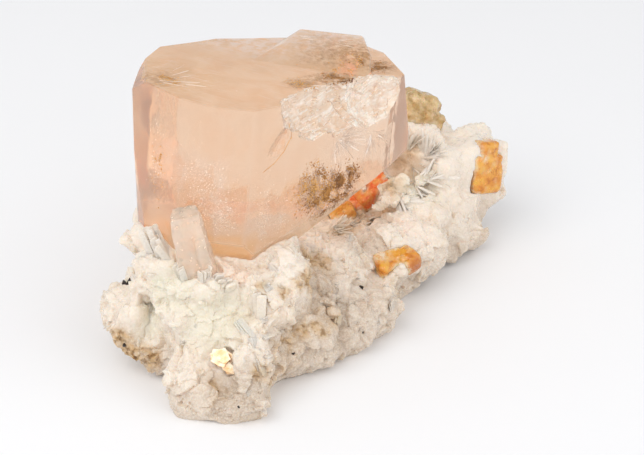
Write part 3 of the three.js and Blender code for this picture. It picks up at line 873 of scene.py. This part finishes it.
def spots_on(rock, rng, count, beryl_tree):
    """Random rough places on the rock, clear of the beryl and of the rock's own ends and foot."""
    faces = rock.data.polygons
    found = []
    while len(found) < count:
        face = faces[rng.randrange(len(faces))]
        place = face.center / MM
        inward = abs(place.x) < 32 and place.y > -36 and place.z > 4.0 and face.normal.z > -0.35
        if inward and beryl_tree.find_nearest(place, 2.5)[0] is None:
            if blobs(np.array([place]), WAXY)[0] <= 0.6:
                found.append((place, face.normal.copy()))
    return found


def plates_piece(rock, beryl_tree):
    rng = random.Random(5)
    heap = Heap()
    for sheaf in SHEAVES:
        add_sheaf(heap, rng, *sheaf)
    for place, normal in spots_on(rock, rng, SMALL_SHEAVES, beryl_tree):
        size = (rng.uniform(1.6, 3.0), rng.uniform(0.9, 1.8), rng.uniform(0.14, 0.28))
        grows = (normal + jolt(rng, 0.9)).normalized()
        faces = drift(rng)
        foot = place - grows * size[0] * rng.uniform(0.78, 0.92)
        add_sheaf(heap, rng, foot, grows, faces, rng.randrange(2, 5), size)
    mesh = heap.mesh()
    level = np.zeros(len(mesh.vertices))
    # Painted shade: the plates are painted as a little sunken and as not facing up, so the low ones turn tan.
    tinted(mesh, mesh_points(mesh), np.zeros((len(level), 3)), level, level + 0.3)
    return placed(new_object("albite_plates", mesh, albite_finish()))


# ---- the beryl: places are in its own frame, with its foot at the origin and its axis upright ----
BERYL_FOOT = Vector((-12.9, -17.67, 20.0))
BERYL_TURN = turn_of((-5.9, 5.0, -2.5))
BERYL_TOP = 30.0
EDGE_BEVEL = 0.16
GRID = 1.1           # spacing of the points that carry the low relief of its faces
STEP_DEPTH = 2.6     # how deep the raised step reaches into the crystal
RAMP_FROM = 34.0     # the step slopes down gently at the points nearer than this
RAMP_LENGTH = 8.0
RAMP_DROP = 1.0      # how far under the flat top its low end starts
BREAK, FROST, TOP = 1, 2, 3   # the places of the finishes in the beryl's list, after its sides
# Each broken place is cut by a ball: its middle, half sizes and turn, the point in the ball's frame
# that its shell-like rings and streaks spread from, how rough it is, and its finish.
CHIPS = [
    ((15.2, 11.8, 28.9), (14.0, 5.2, 6.6), 46, (13.0, 0.0, 4.0), 1.0, BREAK),
    ((11.4, 8.4, 26.2), (5.0, 2.0, 4.4), 50, (6.0, 1.0, 5.0), 0.6, BREAK),
    ((21.6, 18.4, 27.2), (6.8, 5.0, 5.6), 46, (-6.0, 2.0, 5.0), 0.8, FROST),
]
DEEP_BAND = (-6.0, 2.6)   # the darker band along the foot lies between these, across the front
# Milky places in it, and the golden haze and the brown patches of its flat top.
MILKY = [((-7.0, 0.0, 15.0), 8.5, 0.8), ((2.0, 1.0, 8.0), 4.0, 0.5), ((-14.0, 3.0, 20.0), 4.0, 0.5),
         ((18.0, 15.5, 19.0), 6.0, 0.6)]
HAZY = [((-17.0, 12.0, 30.0), 13.0, 1.0), ((-4.0, 26.0, 30.0), 12.0, 0.35), ((14.0, 22.0, 30.0), 9.0, 0.6),
        ((24.0, 30.0, 30.0), 6.0, 0.8)]
BROWNED = [((7.8, 14.6, 30.0), 3.6, 1.2), ((14.5, 20.0, 30.0), 4.2, 1.5), ((20.5, 28.0, 30.0), 4.4, 1.5),
           ((-17.0, 10.5, 30.0), 4.5, 0.8), ((10.5, 18.0, 30.0), 3.0, 1.2)]


def in_crystal(place):
    """A place given in the beryl's own frame, in the shared frame."""
    return BERYL_FOOT + BERYL_TURN @ Vector(place)


def own_frame(points):
    return (points - np.array(BERYL_FOOT)) @ np.array(BERYL_TURN)


def rounded_hull(points, radius):
    """The hull of balls that stand just inside the points."""
    ball = bmesh.new()
    bmesh.ops.create_icosphere(ball, subdivisions=2, radius=radius)
    middle = sum(points, Vector()) / len(points)
    around = []
    for p in points:
        seat = p + (middle - p).normalized() * radius
        around += [seat + v.co for v in ball.verts]
    ball.free()
    return hull_of(around)


def gridded(shape, step):
    """Cuts the faces along evenly spaced planes, so that their points can carry a low relief."""
    for axis in range(3):
        normal = Vector([float(axis == k) for k in range(3)])
        reach = [v.co[axis] for v in shape.verts]
        place = min(reach) + step / 2
        while place < max(reach):
            geometry = shape.verts[:] + shape.edges[:] + shape.faces[:]
            bmesh.ops.bisect_plane(shape, geom=geometry, plane_co=normal * place, plane_no=normal)
            place += step


def chip_tool(salt, finishes, at, size, turn, blow, rough, finish):
    """A ball with shell-like rings and radiating streaks, in the shared frame."""
    shape = bmesh.new()
    bmesh.ops.create_icosphere(shape, subdivisions=6, radius=1.0)
    unit = np.array([v.co for v in shape.verts])
    sized = unit * np.array(size)
    from_blow = sized - np.array(blow)
    turns = np.linalg.norm(from_blow, axis=1) / 2.3 + 0.5 * noise(sized, 3.0, salt)
    rings = turns - np.floor(turns)
    streaks = noise(unit_rows(from_blow) * 9 + 0.06 * sized, 1.0, salt + 2)
    steps = broken(sized + 0.6 * noise(sized, 2.0, salt + 3)[:, None], 3.6, 0.3, 0.8, salt + 4)[0]
    rise = rough * (0.5 * rings + 0.4 * streaks + 0.6 * steps + 0.25 * noise(sized, 1.1, salt + 1))
    spin = BERYL_TURN @ turn_of((0, 0, turn))
    for vertex, place, way, grow in zip(shape.verts, sized, unit, rise):
        vertex.co = in_crystal(at) + spin @ Vector(place + way * grow)
    for face in shape.faces:
        face.material_index = finish
    return new_object("chip_tool", mesh_of(shape), *finishes)


def beryl_body(finishes):
    """The prism, with the raised step on its top and the chips in its rim."""
    cad = mesh_points(NODES["beryl_crystal"].data)
    own = own_frame(cad)
    terrace = own[:, 2] > BERYL_TOP + 0.05
    body = hull_of(cad[~terrace].tolist())
    bmesh.ops.bevel(body, geom=body.edges[:], offset=EDGE_BEVEL, segments=2, affect="EDGES",
                    clamp_overlap=True)
    gridded(body, GRID)
    top = own[terrace]
    near = top[top[:, 1] < RAMP_FROM]
    ramp = np.vstack([near - np.array(way) * RAMP_LENGTH for way in ((0, 1, 0), (0.7, 0.8, 0))])
    ramp[:, 2] = BERYL_TOP - RAMP_DROP
    step = rounded_hull([in_crystal(p) for p in np.vstack([top, top - (0, 0, STEP_DEPTH), ramp])], 0.8)
    piece = new_object("beryl", mesh_of(body), *finishes)
    piece = combined(piece, new_object("step_tool", mesh_of(step), *finishes), "UNION")
    for number, chip in enumerate(CHIPS):
        piece = combined(piece, chip_tool(60 + 7 * number, finishes, *chip), "DIFFERENCE")
    return piece


def edge_wear_and_highlight(mesh):
    """How sharply the faces turn about each point, from 0 on a flat face to 1 on an edge."""
    total = np.zeros((len(mesh.vertices), 3))
    count = np.zeros(len(mesh.vertices))
    for face in mesh.polygons:
        for vertex in face.vertices:
            total[vertex] += face.normal
            count[vertex] += 1
    bend = 1 - np.linalg.norm(total, axis=1) / np.maximum(count, 1)
    return eased(bend, 0.008, 0.035)


def beryl_piece():
    chips = [chip_finish("beryl_break", 0.3, 0.45), chip_finish("beryl_frost", 0.12, 0.34)]
    piece = beryl_body([beryl_finish(), *chips, top_finish()])
    mesh = piece.data
    points = mesh_points(mesh)
    raise_points(mesh, points, 0.05 * noise(points, 6.0, 3) + 0.02 * noise(points, 2.5, 4))
    own = own_frame(points)
    for face in mesh.polygons:
        high = own[list(face.vertices), 2].mean() > BERYL_TOP - 0.6
        level = (BERYL_TURN.transposed() @ face.normal).z > 0.5
        if face.material_index == 0 and high and level:
            face.material_index = TOP
    low_band = eased(own[:, 2], 1.2, 1.6) * (1 - eased(own[:, 2], 6.1, 6.5))
    inside = (own[:, 0] > DEEP_BAND[0]) & (own[:, 0] < DEEP_BAND[1])
    deep = low_band * np.where(inside, 1.0, 0.25)
    # The edge mask is frosted wear and painted highlight.
    paint(mesh, "zone", worn=edge_wear_and_highlight(mesh), milk=blobs(own, MILKY), deep=deep)
    rim = eased(own[:, 1] - 0.35 * abs(own[:, 0]), 22.0, 34.0)
    paint(mesh, "top", haze=blobs(own, HAZY), rim=rim, brown=blobs(own, BROWNED))
    shade(mesh, 28)
    return placed(piece, "beryl_crystal", shadow=False)


# Clouds of tiny flakes: the middle, the half size along the right-hand face, across it and up, and
# how many.
FACE_TURN = 46
BROWN_CLOUDS = [
    ((14.4, 13.4, 9.4), (4.8, 1.8, 3.4), 2300), ((17.0, 16.2, 12.4), (3.4, 1.6, 2.6), 1300),
    ((12.0, 11.0, 13.4), (2.0, 1.2, 2.4), 300), ((14.5, 20.0, 29.8), (3.4, 3.0, 0.2), 700),
    ((20.5, 28.0, 29.8), (4.0, 2.6, 0.2), 800),
]
GOLD_CLOUDS = [
    ((10.4, 9.2, 12.4), (3.0, 1.4, 4.4), 900), ((13.2, 12.2, 10.6), (5.2, 1.8, 4.2), 1300),
    ((7.8, 14.6, 29.8), (2.6, 3.0, 0.2), 450), ((-17.0, 10.5, 29.8), (2.6, 4.5, 0.2), 420),
    ((16.0, 24.0, 29.8), (6.0, 4.0, 0.2), 460), ((-17.0, 4.0, 15.0), (1.6, 1.6, 5.0), 90),
]
# White flakes: white specks in the crystal, and painted glints where it sparkles.
WHITE_CLOUDS_AND_GLINTS = [
    ((-6.0, 1.0, 16.0), (8.0, 5.0, 8.0), 1400), ((-4.8, 0.6, 8.6), (6.4, 2.4, 3.0), 600),
    ((4.5, 3.6, 9.0), (3.4, 1.6, 7.0), 600), ((17.2, 16.4, 19.5), (7.0, 1.6, 3.6), 800),
    ((-16.0, 6.0, 16.0), (2.0, 2.0, 8.0), 200),
]
MOST_TRIES = 20000
# Feathers of fine needles: the point they spread from, the way, what they turn about, the angle to
# each side, their reach, how many, and how wide.
RIGHT_FACE = (0.7, -0.72, 0)
FLAT_TOP = (0, 0, 1)
GOLD_FEATHERS = [
    ((12.6, 11.4, 12.0), (-0.7, -0.67, 0.35), RIGHT_FACE, 60, 5.6, 130, 0.08),
    ((13.0, 12.0, 9.6), (-0.6, -0.55, -0.6), RIGHT_FACE, 70, 4.0, 90, 0.08),
]
BROWN_FEATHERS = [
    ((14.9, 13.6, 12.2), (0.2, 0.2, 1.0), RIGHT_FACE, 80, 3.0, 50, 0.08),
    ((17.2, 16.1, 9.8), (0.5, 0.48, -0.8), RIGHT_FACE, 80, 3.0, 50, 0.08),
]
# White needles: white feathers in the crystal, and painted glints along the right-hand face and the top.
WHITE_FEATHERS_AND_GLINTS = [
    ((15.0, 14.2, 20.5), (0.7, 0.7, 0.0), RIGHT_FACE, 50, 6.0, 90, 0.16),
    ((14.0, 13.4, 21.0), (0.5, 0.5, -0.6), RIGHT_FACE, 50, 4.0, 60, 0.14),
    ((21.0, 20.0, 20.5), (0.3, 0.3, -0.9), RIGHT_FACE, 50, 5.0, 70, 0.16),
    ((-18.0, 9.0, 30.0), (0.9, 0.4, 0), FLAT_TOP, 50, 9.0, 50, 0.08),
    ((2.0, 36.0, 30.0), (0.9, -0.3, 0), FLAT_TOP, 60, 7.0, 50, 0.08),
    ((12.0, 34.0, 30.6), (0.9, -0.3, 0), FLAT_TOP, 60, 7.0, 50, 0.08),
]
# The long fracture that curves down the right-hand face.
CRACK = [(7.0, 5.9, 26.0), (6.3, 5.4, 23.6), (5.2, 4.4, 21.2), (3.8, 3.1, 19.4), (2.2, 1.8, 18.2)]
CRACK_WIDTH = 0.16
SHALLOWEST = 0.03   # the least depth of a flake's middle under the beryl's surface
PROUD = 0.012       # how far the flakes that reach the surface stand out of it


def depth_in(tree, place):
    """The nearest place on a closed surface, how deep a place is inside it, and the way out."""
    near, normal, _, far = tree.find_nearest(place)
    return near, (far if (place - near).dot(normal) < 0 else -far), normal


def add_cloud(heap, rng, tree, seed, radii, patch, at_surface, middle, size, left):
    """Flakes thinned out by noise: a share of them lies along the surface, the others float inside."""
    for _ in range(MOST_TRIES):
        spot = turn_of((0, 0, FACE_TURN)) @ Vector([rng.gauss(0, 0.5) * s for s in size])
        place = in_crystal(Vector(middle) + spot)
        near, depth, outward = depth_in(tree, place)
        dense = noise(np.array([place]), patch, seed)[0]
        if dense < rng.uniform(-0.2, 0.25) or depth < -size[1]:
            continue
        tilt = 0.35
        if rng.random() < at_surface:
            place = near + outward * PROUD
            tilt = 0.03
        elif depth < SHALLOWEST:
            continue
        radius = rng.uniform(*radii)
        turn = facing(outward + tilt * drift(rng), rng.uniform(0, math.tau))
        heap.add(flake(rng, radius, 0.03, rng.choice((3, 4, 5))), place, turn)
        left -= 1
        if not left:
            return


def add_feather(heap, rng, tree, start, to, about, spread, size, count, wide):
    """Needles that spread from a point, on or just under the surface."""
    for _ in range(count):
        way = swung(rng, Vector(to).normalized(), spread, Vector(about)) + drift(rng, 0.05)
        inner = rng.uniform(0.1, 0.75) * size
        length = rng.uniform(0.25, 0.6) * size
        ends = []
        for reach in (inner, inner + length):
            near, _, outward = depth_in(tree, in_crystal(Vector(start) + way * reach))
            ends.append(near - outward * rng.choice((-PROUD, 0.3, 0.8)))
        span = ends[1] - ends[0]
        needle = blade(rng, span.length, wide * rng.uniform(0.6, 1.4), 0.04)
        turn = facing(span, rng.uniform(0, math.pi))
        if depth_in(tree, (ends[0] + ends[1]) / 2)[1] > -2 * PROUD and span.length < 1.3 * length:
            heap.add(needle, ends[0], turn)


def add_crack(heap, rng, tree, places):
    """A thin line of splinters along the surface."""
    for ends in zip(places, places[1:]):
        start, end = [near + outward * PROUD for near, _, outward in
                      (depth_in(tree, in_crystal(place)) for place in ends)]
        heap.add(blade(rng, (end - start).length * 1.15, CRACK_WIDTH, 0.05), start, facing(end - start))


def inclusions(name, finish, tree, seed, radii, patch, at_surface, clouds, feathers, crack=()):
    """Clouds and feathers of one colour inside the beryl."""
    rng = random.Random(seed)
    heap = Heap()
    for cloud in clouds:
        add_cloud(heap, rng, tree, seed, radii, patch, at_surface, *cloud)
    for feather in feathers:
        add_feather(heap, rng, tree, *feather)
    add_crack(heap, rng, tree, crack)
    return placed(new_object(name, heap.mesh(), finish))


def inclusion_pieces(tree):
    brown = speck_finish("brown_inclusions", (0.46, 0.20, 0.04), (0.18, 0.065, 0.012), 0.7)
    gold = speck_finish("gold_inclusions", (0.74, 0.40, 0.11), (0.52, 0.24, 0.05), 0.7)
    # White specks and painted glints.
    white = speck_finish("white_inclusions_and_glints", (1.0, 0.92, 0.84), (0.98, 0.84, 0.72), 0.2)
    inclusions("brown_flakes", brown, tree, 31, (0.05, 0.22), 1.5, 0.5, BROWN_CLOUDS, BROWN_FEATHERS)
    inclusions("gold_flakes", gold, tree, 37, (0.05, 0.22), 1.4, 0.35, GOLD_CLOUDS, GOLD_FEATHERS, CRACK)
    inclusions("white_flakes_and_glints", white, tree, 47, (0.03, 0.13), 2.4, 0.2, WHITE_CLOUDS_AND_GLINTS, WHITE_FEATHERS_AND_GLINTS)


# Thin healed fractures inside the beryl: the middle, the way it faces, and half sizes.
VEILS = [((3.6, 5.4, 23.6), (0.80, 0.22, -0.56), (5.4, 3.6)),
         ((-3.5, 6.0, 9.6), (0.1, -0.75, 0.65), (5.0, 1.6)),
         ((-12.0, 9.0, 16.0), (-0.5, -0.8, 0.2), (3.4, 4.4))]
VEIL_THICK = 0.08
VEIL_CURVE = 0.05


def veil_form(rng, wide, high, rings=6, spokes=24):
    """A thin, slightly dished sheet with an uneven outline, lying flat. Its faces may point inwards."""
    reach = [rng.uniform(0.8, 1.1) for _ in range(spokes)]
    points = []
    for side in (-VEIL_THICK / 2, VEIL_THICK / 2):
        points.append((0, 0, side))
        for ring in range(1, rings + 1):
            thin = 0.2 if ring == rings else 1.0
            for k, far in enumerate(reach):
                x = wide * far * ring / rings * math.cos(k * math.tau / spokes)
                y = high * far * ring / rings * math.sin(k * math.tau / spokes)
                points.append((x, y, VEIL_CURVE * (x * x + 0.5 * y * y) + side * thin))
    sheet = len(points) // 2
    faces = walls(sheet - spokes, 2 * sheet - spokes, spokes)
    for base in (0, sheet):
        faces += [(base, base + 1 + k, base + 1 + (k + 1) % spokes) for k in range(spokes)]
        for ring in range(base + 1, base + 1 + (rings - 1) * spokes, spokes):
            faces += walls(ring, ring + spokes, spokes)
    return points, faces


def veils_piece():
    rng = random.Random(17)
    heap = Heap()
    for middle, faces, size in VEILS:
        heap.add(veil_form(rng, *size), in_crystal(middle), BERYL_TURN @ facing(faces))
    mesh = heap.mesh()
    shape = bmesh.new()
    shape.from_mesh(mesh)
    bmesh.ops.recalc_face_normals(shape, faces=shape.faces)
    shape.to_mesh(mesh)
    shape.free()
    shade(mesh, 40)
    placed(new_object("veils", mesh, veil_finish()), shadow=False)


# ---- small crystals ----
FULLER = 0.04   # makes up for what each round of wear takes off
# The quartz is broken off along these planes: a point on each, and the side that is taken away.
QUARTZ_BREAKS = [((-17.6, 0, 22.9), (1.0, 0, 0.22)), ((-24.2, 0, 29.0), (-1.0, 0, -0.12)),
                 ((-22.1, 0, 34.3), (0.55, 0, 0.83)), ((-22.1, 0, 34.3), (-0.25, 0, 0.97))]


def crusted(points, tree, crusts):
    """How far each point is covered: near the rock, along the crystal's rims and in patches."""
    dust = eased(noise(points, 1.2, 15), 0.1, 0.6) * 0.3
    crust = 1 - eased(distances(tree, points, 1.6), 0.1, 0.9)
    low, high = points.min(axis=0), points.max(axis=0)
    rim = np.sort(np.minimum(points - low, high - points), axis=1)[:, 1]
    rim = 0.7 * (1 - eased(rim + 0.4 * noise(points, 1.0, 17), 0.3, 1.1))
    rim *= eased(noise(points, 1.6, 19), -0.3, 0.3)
    return np.max([dust, crust, rim, blobs(points, crusts)], axis=0)


def etched_piece(tree, node, name, finish, rough=1.0, cell=1.8, rust=(), crusts=(), voxel=0.16, worn=4,
                 breaks=(), shadow=True):
    """A small crystal: its CAD solid with worn edges and an etched, stepped surface."""
    mesh = remeshed(node, voxel)
    points = mesh_points(mesh)
    for place, side in breaks:
        way = np.array(side) / np.linalg.norm(side)
        points -= np.clip((points - np.array(place)) @ way, 0, None)[:, None] * way
    for _ in range(worn):
        points = softened(mesh, points)
    move_points(mesh, points)
    steps = facets(points, cell, 0.14 * cell, 81) + facets(points, 0.7, 0.4, 93)
    relief = rough * (0.35 * steps + 0.05 * noise(points, 0.8, 7))
    raise_points(mesh, points, np.clip(relief, -0.3 * rough, 0.2 * rough) + FULLER * worn)
    paint(mesh, "tint", crust=crusted(points, tree, crusts), rust=blobs(points, rust))
    shade(mesh, 40)
    return placed(new_object(name, mesh, finish), node, shadow)


def small_crystals(tree):
    orange = gem_finish("orange_gem", (0.98, 0.50, 0.07), (0.80, 0.28, 0.01), (0.56, 0.15, 0.005), 2.2)
    red = gem_finish("red_gem", (1.0, 0.42, 0.10), (0.94, 0.16, 0.02), (0.95, 0.10, 0.02), 1.8)
    amber = gem_finish("amber_gem", (0.96, 0.54, 0.14), (0.74, 0.27, 0.03), (0.4, 0.12, 0.02))
    tan = gem_finish("tan_gem", (0.94, 0.70, 0.38), (0.60, 0.37, 0.12), (0.40, 0.28, 0.07), 2.2, 0.3)
    etched_piece(tree, "quartz_crystal", "quartz", quartz_finish(), 1.1, voxel=0.15, worn=1,
                 breaks=QUARTZ_BREAKS, shadow=False)
    low, high = corners("orange_crystal_front")
    rust = [((high.x, low.y + 1.2, low.z + 1.2), 3.4, 1.0)]
    crusts = [((low.x + 1.2, (low.y + high.y) / 2, high.z - 0.3), 2.4, 1.0)]
    etched_piece(tree, "orange_crystal_front", "orange_ledge", orange, 1.7, 3.4, rust, crusts)
    low, high = corners("orange_crystal_right")
    rust = [((low.x + 0.6, low.y, low.z + 1.5), 2.4, 0.9), ((low.x + 1.8, low.y, high.z - 3.0), 1.6, 0.8)]
    crusts = [((high.x - 0.6, low.y, low.z + 3.0), 2.2, 0.7), ((low.x + 2.0, low.y, high.z), 1.8, 0.8)]
    etched_piece(tree, "orange_crystal_right", "orange_block", orange, 1.7, 3.4, rust, crusts)
    etched_piece(tree, "amber_crystal", "amber", amber)
    etched_piece(tree, "red_crystal", "red_block", red)
    etched_piece(tree, "tan_crystal", "tan_block", tan, 1.4)


# Stacks of mica leaves: the middle, the turn, the half sizes, how many leaves, and the height.
MICA_BOOKS = [((-15.8, -31.17, 9.5), (44, 4, -20), (2.4, 1.8), 8, 1.5),
              ((-14.4, -31.87, 8.0), (50, 12, -8), (1.7, 1.3), 5, 1.1)]


def mica_piece():
    rng = random.Random(8)
    heap = Heap()
    for middle, turn, size, leaves, thick in MICA_BOOKS:
        turn = turn_of(turn)
        for leaf in range(leaves):
            share = leaf / (leaves - 1)
            sides = rng.choice((7, 8, 9))
            points, faces = flake(rng, 1.12 - 0.3 * share, 0.8 * thick / leaves, sides)
            sized = [(x * size[0], y * size[1], z) for x, y, z in points]
            shift = Vector((rng.uniform(-0.25, 0.25), rng.uniform(-0.25, 0.25), (share - 0.5) * thick))
            tilt = turn_of((rng.uniform(-3, 3), rng.uniform(-3, 3), 0))
            heap.add((sized, faces), Vector(middle) + turn @ shift, turn @ tilt)
    placed(new_object("mica", heap.mesh(), mica_finish()), "mica_book")


# Dark grains: the ones of the cluster about its middle, the ones on the rock in the shared frame, and
# their radii.
CLUSTER = [((0, 0, 0), 1.2), ((-1.1, -0.2, 0.1), 0.8), ((1.0, -0.1, -0.15), 0.75), ((0.4, 0, 0.6), 0.7)]
SPECKS = [((8.9, -8.0, 9.4), 0.75), ((-3.4, -25.9, 6.8), 0.4), ((-7.6, -30.5, 3.3), 0.35),
          ((9.0, -16.7, 5.3), 0.3), ((-12.6, -38.2, 4.1), 0.3), ((-33.6, -22.9, 6.6), 0.5)]


def dark_pieces(tree):
    finish = speck_finish("dark_mineral", (0.045, 0.028, 0.022), (0.012, 0.008, 0.008), 0.28)
    rng = random.Random(3)
    low, high = corners("dark_grain")
    cluster = Heap()
    for offset, radius in CLUSTER:
        cluster.add(lump(rng, radius), (low + high) / 2 + Vector(offset), Matrix.Identity(3))
    placed(new_object("dark_grain_cluster", cluster.mesh(), finish), "dark_grain")
    specks = Heap()
    for place, radius in SPECKS:
        specks.add(lump(rng, radius), tree.find_nearest(Vector(place))[0], Matrix.Identity(3))
    placed(new_object("dark_specks", specks.mesh(), finish))


# ---- camera, light and floor ----
TARGET = Vector((1.7, -10.87, 24.0))   # what the camera looks at
ELEVATION = 30.0
DISTANCE = 322.0
LENS = 100.0
LIGHTS = {"key": ((-260, -300, 480), 1.8), "fill": ((420, -240, 300), 0.8)}   # place and power
LIGHT_SIZE = 0.6                       # in metres
LIT = Vector((0, 0, 20))               # what the lights point at
SKY = 0.68
FLOOR = 4000.0                         # half its side


def aimed(name, data, place, target):
    """A camera or light at a place, looking at another."""
    obj = bpy.data.objects.new(name, data)
    obj.location = place * MM
    obj.rotation_euler = (target - place).to_track_quat("-Z", "Y").to_euler()
    bpy.context.scene.collection.objects.link(obj)
    return obj


def studio():
    scene = bpy.context.scene
    lens = bpy.data.cameras.new("camera")
    lens.lens = LENS
    lens.clip_start = 0.01
    rise = math.radians(ELEVATION)
    away = Vector((0, -math.cos(rise), math.sin(rise)))
    scene.camera = aimed("camera", lens, TARGET + away * DISTANCE, TARGET)
    for name, (place, power) in LIGHTS.items():
        lamp = bpy.data.lights.new(name, "AREA")
        lamp.size = LIGHT_SIZE
        lamp.energy = power
        aimed(name, lamp, Vector(place), LIT)
    scene.world = bpy.data.worlds.new("sky")
    scene.world.use_nodes = True
    sky = scene.world.node_tree.nodes["Background"]
    sky.inputs["Color"].default_value = (0.985, 0.99, 1.0, 1.0)
    sky.inputs["Strength"].default_value = SKY
    scene.view_settings.view_transform = "Standard"
    corners_of_floor = [(x * FLOOR, y * FLOOR, 0) for x, y in ((-1, -1), (1, -1), (1, 1), (-1, 1))]
    new_object("floor", mesh_from(corners_of_floor, [(0, 1, 2, 3)]), floor_finish())


studio()
beryl_tree = tree_of(beryl_piece())
rock = rock_piece()
rock_tree = tree_of(rock)
fans_piece(rock_tree)
plates_piece(rock, beryl_tree)
inclusion_pieces(beryl_tree)
veils_piece()
small_crystals(rock_tree)
mica_piece()
dark_pieces(rock_tree)
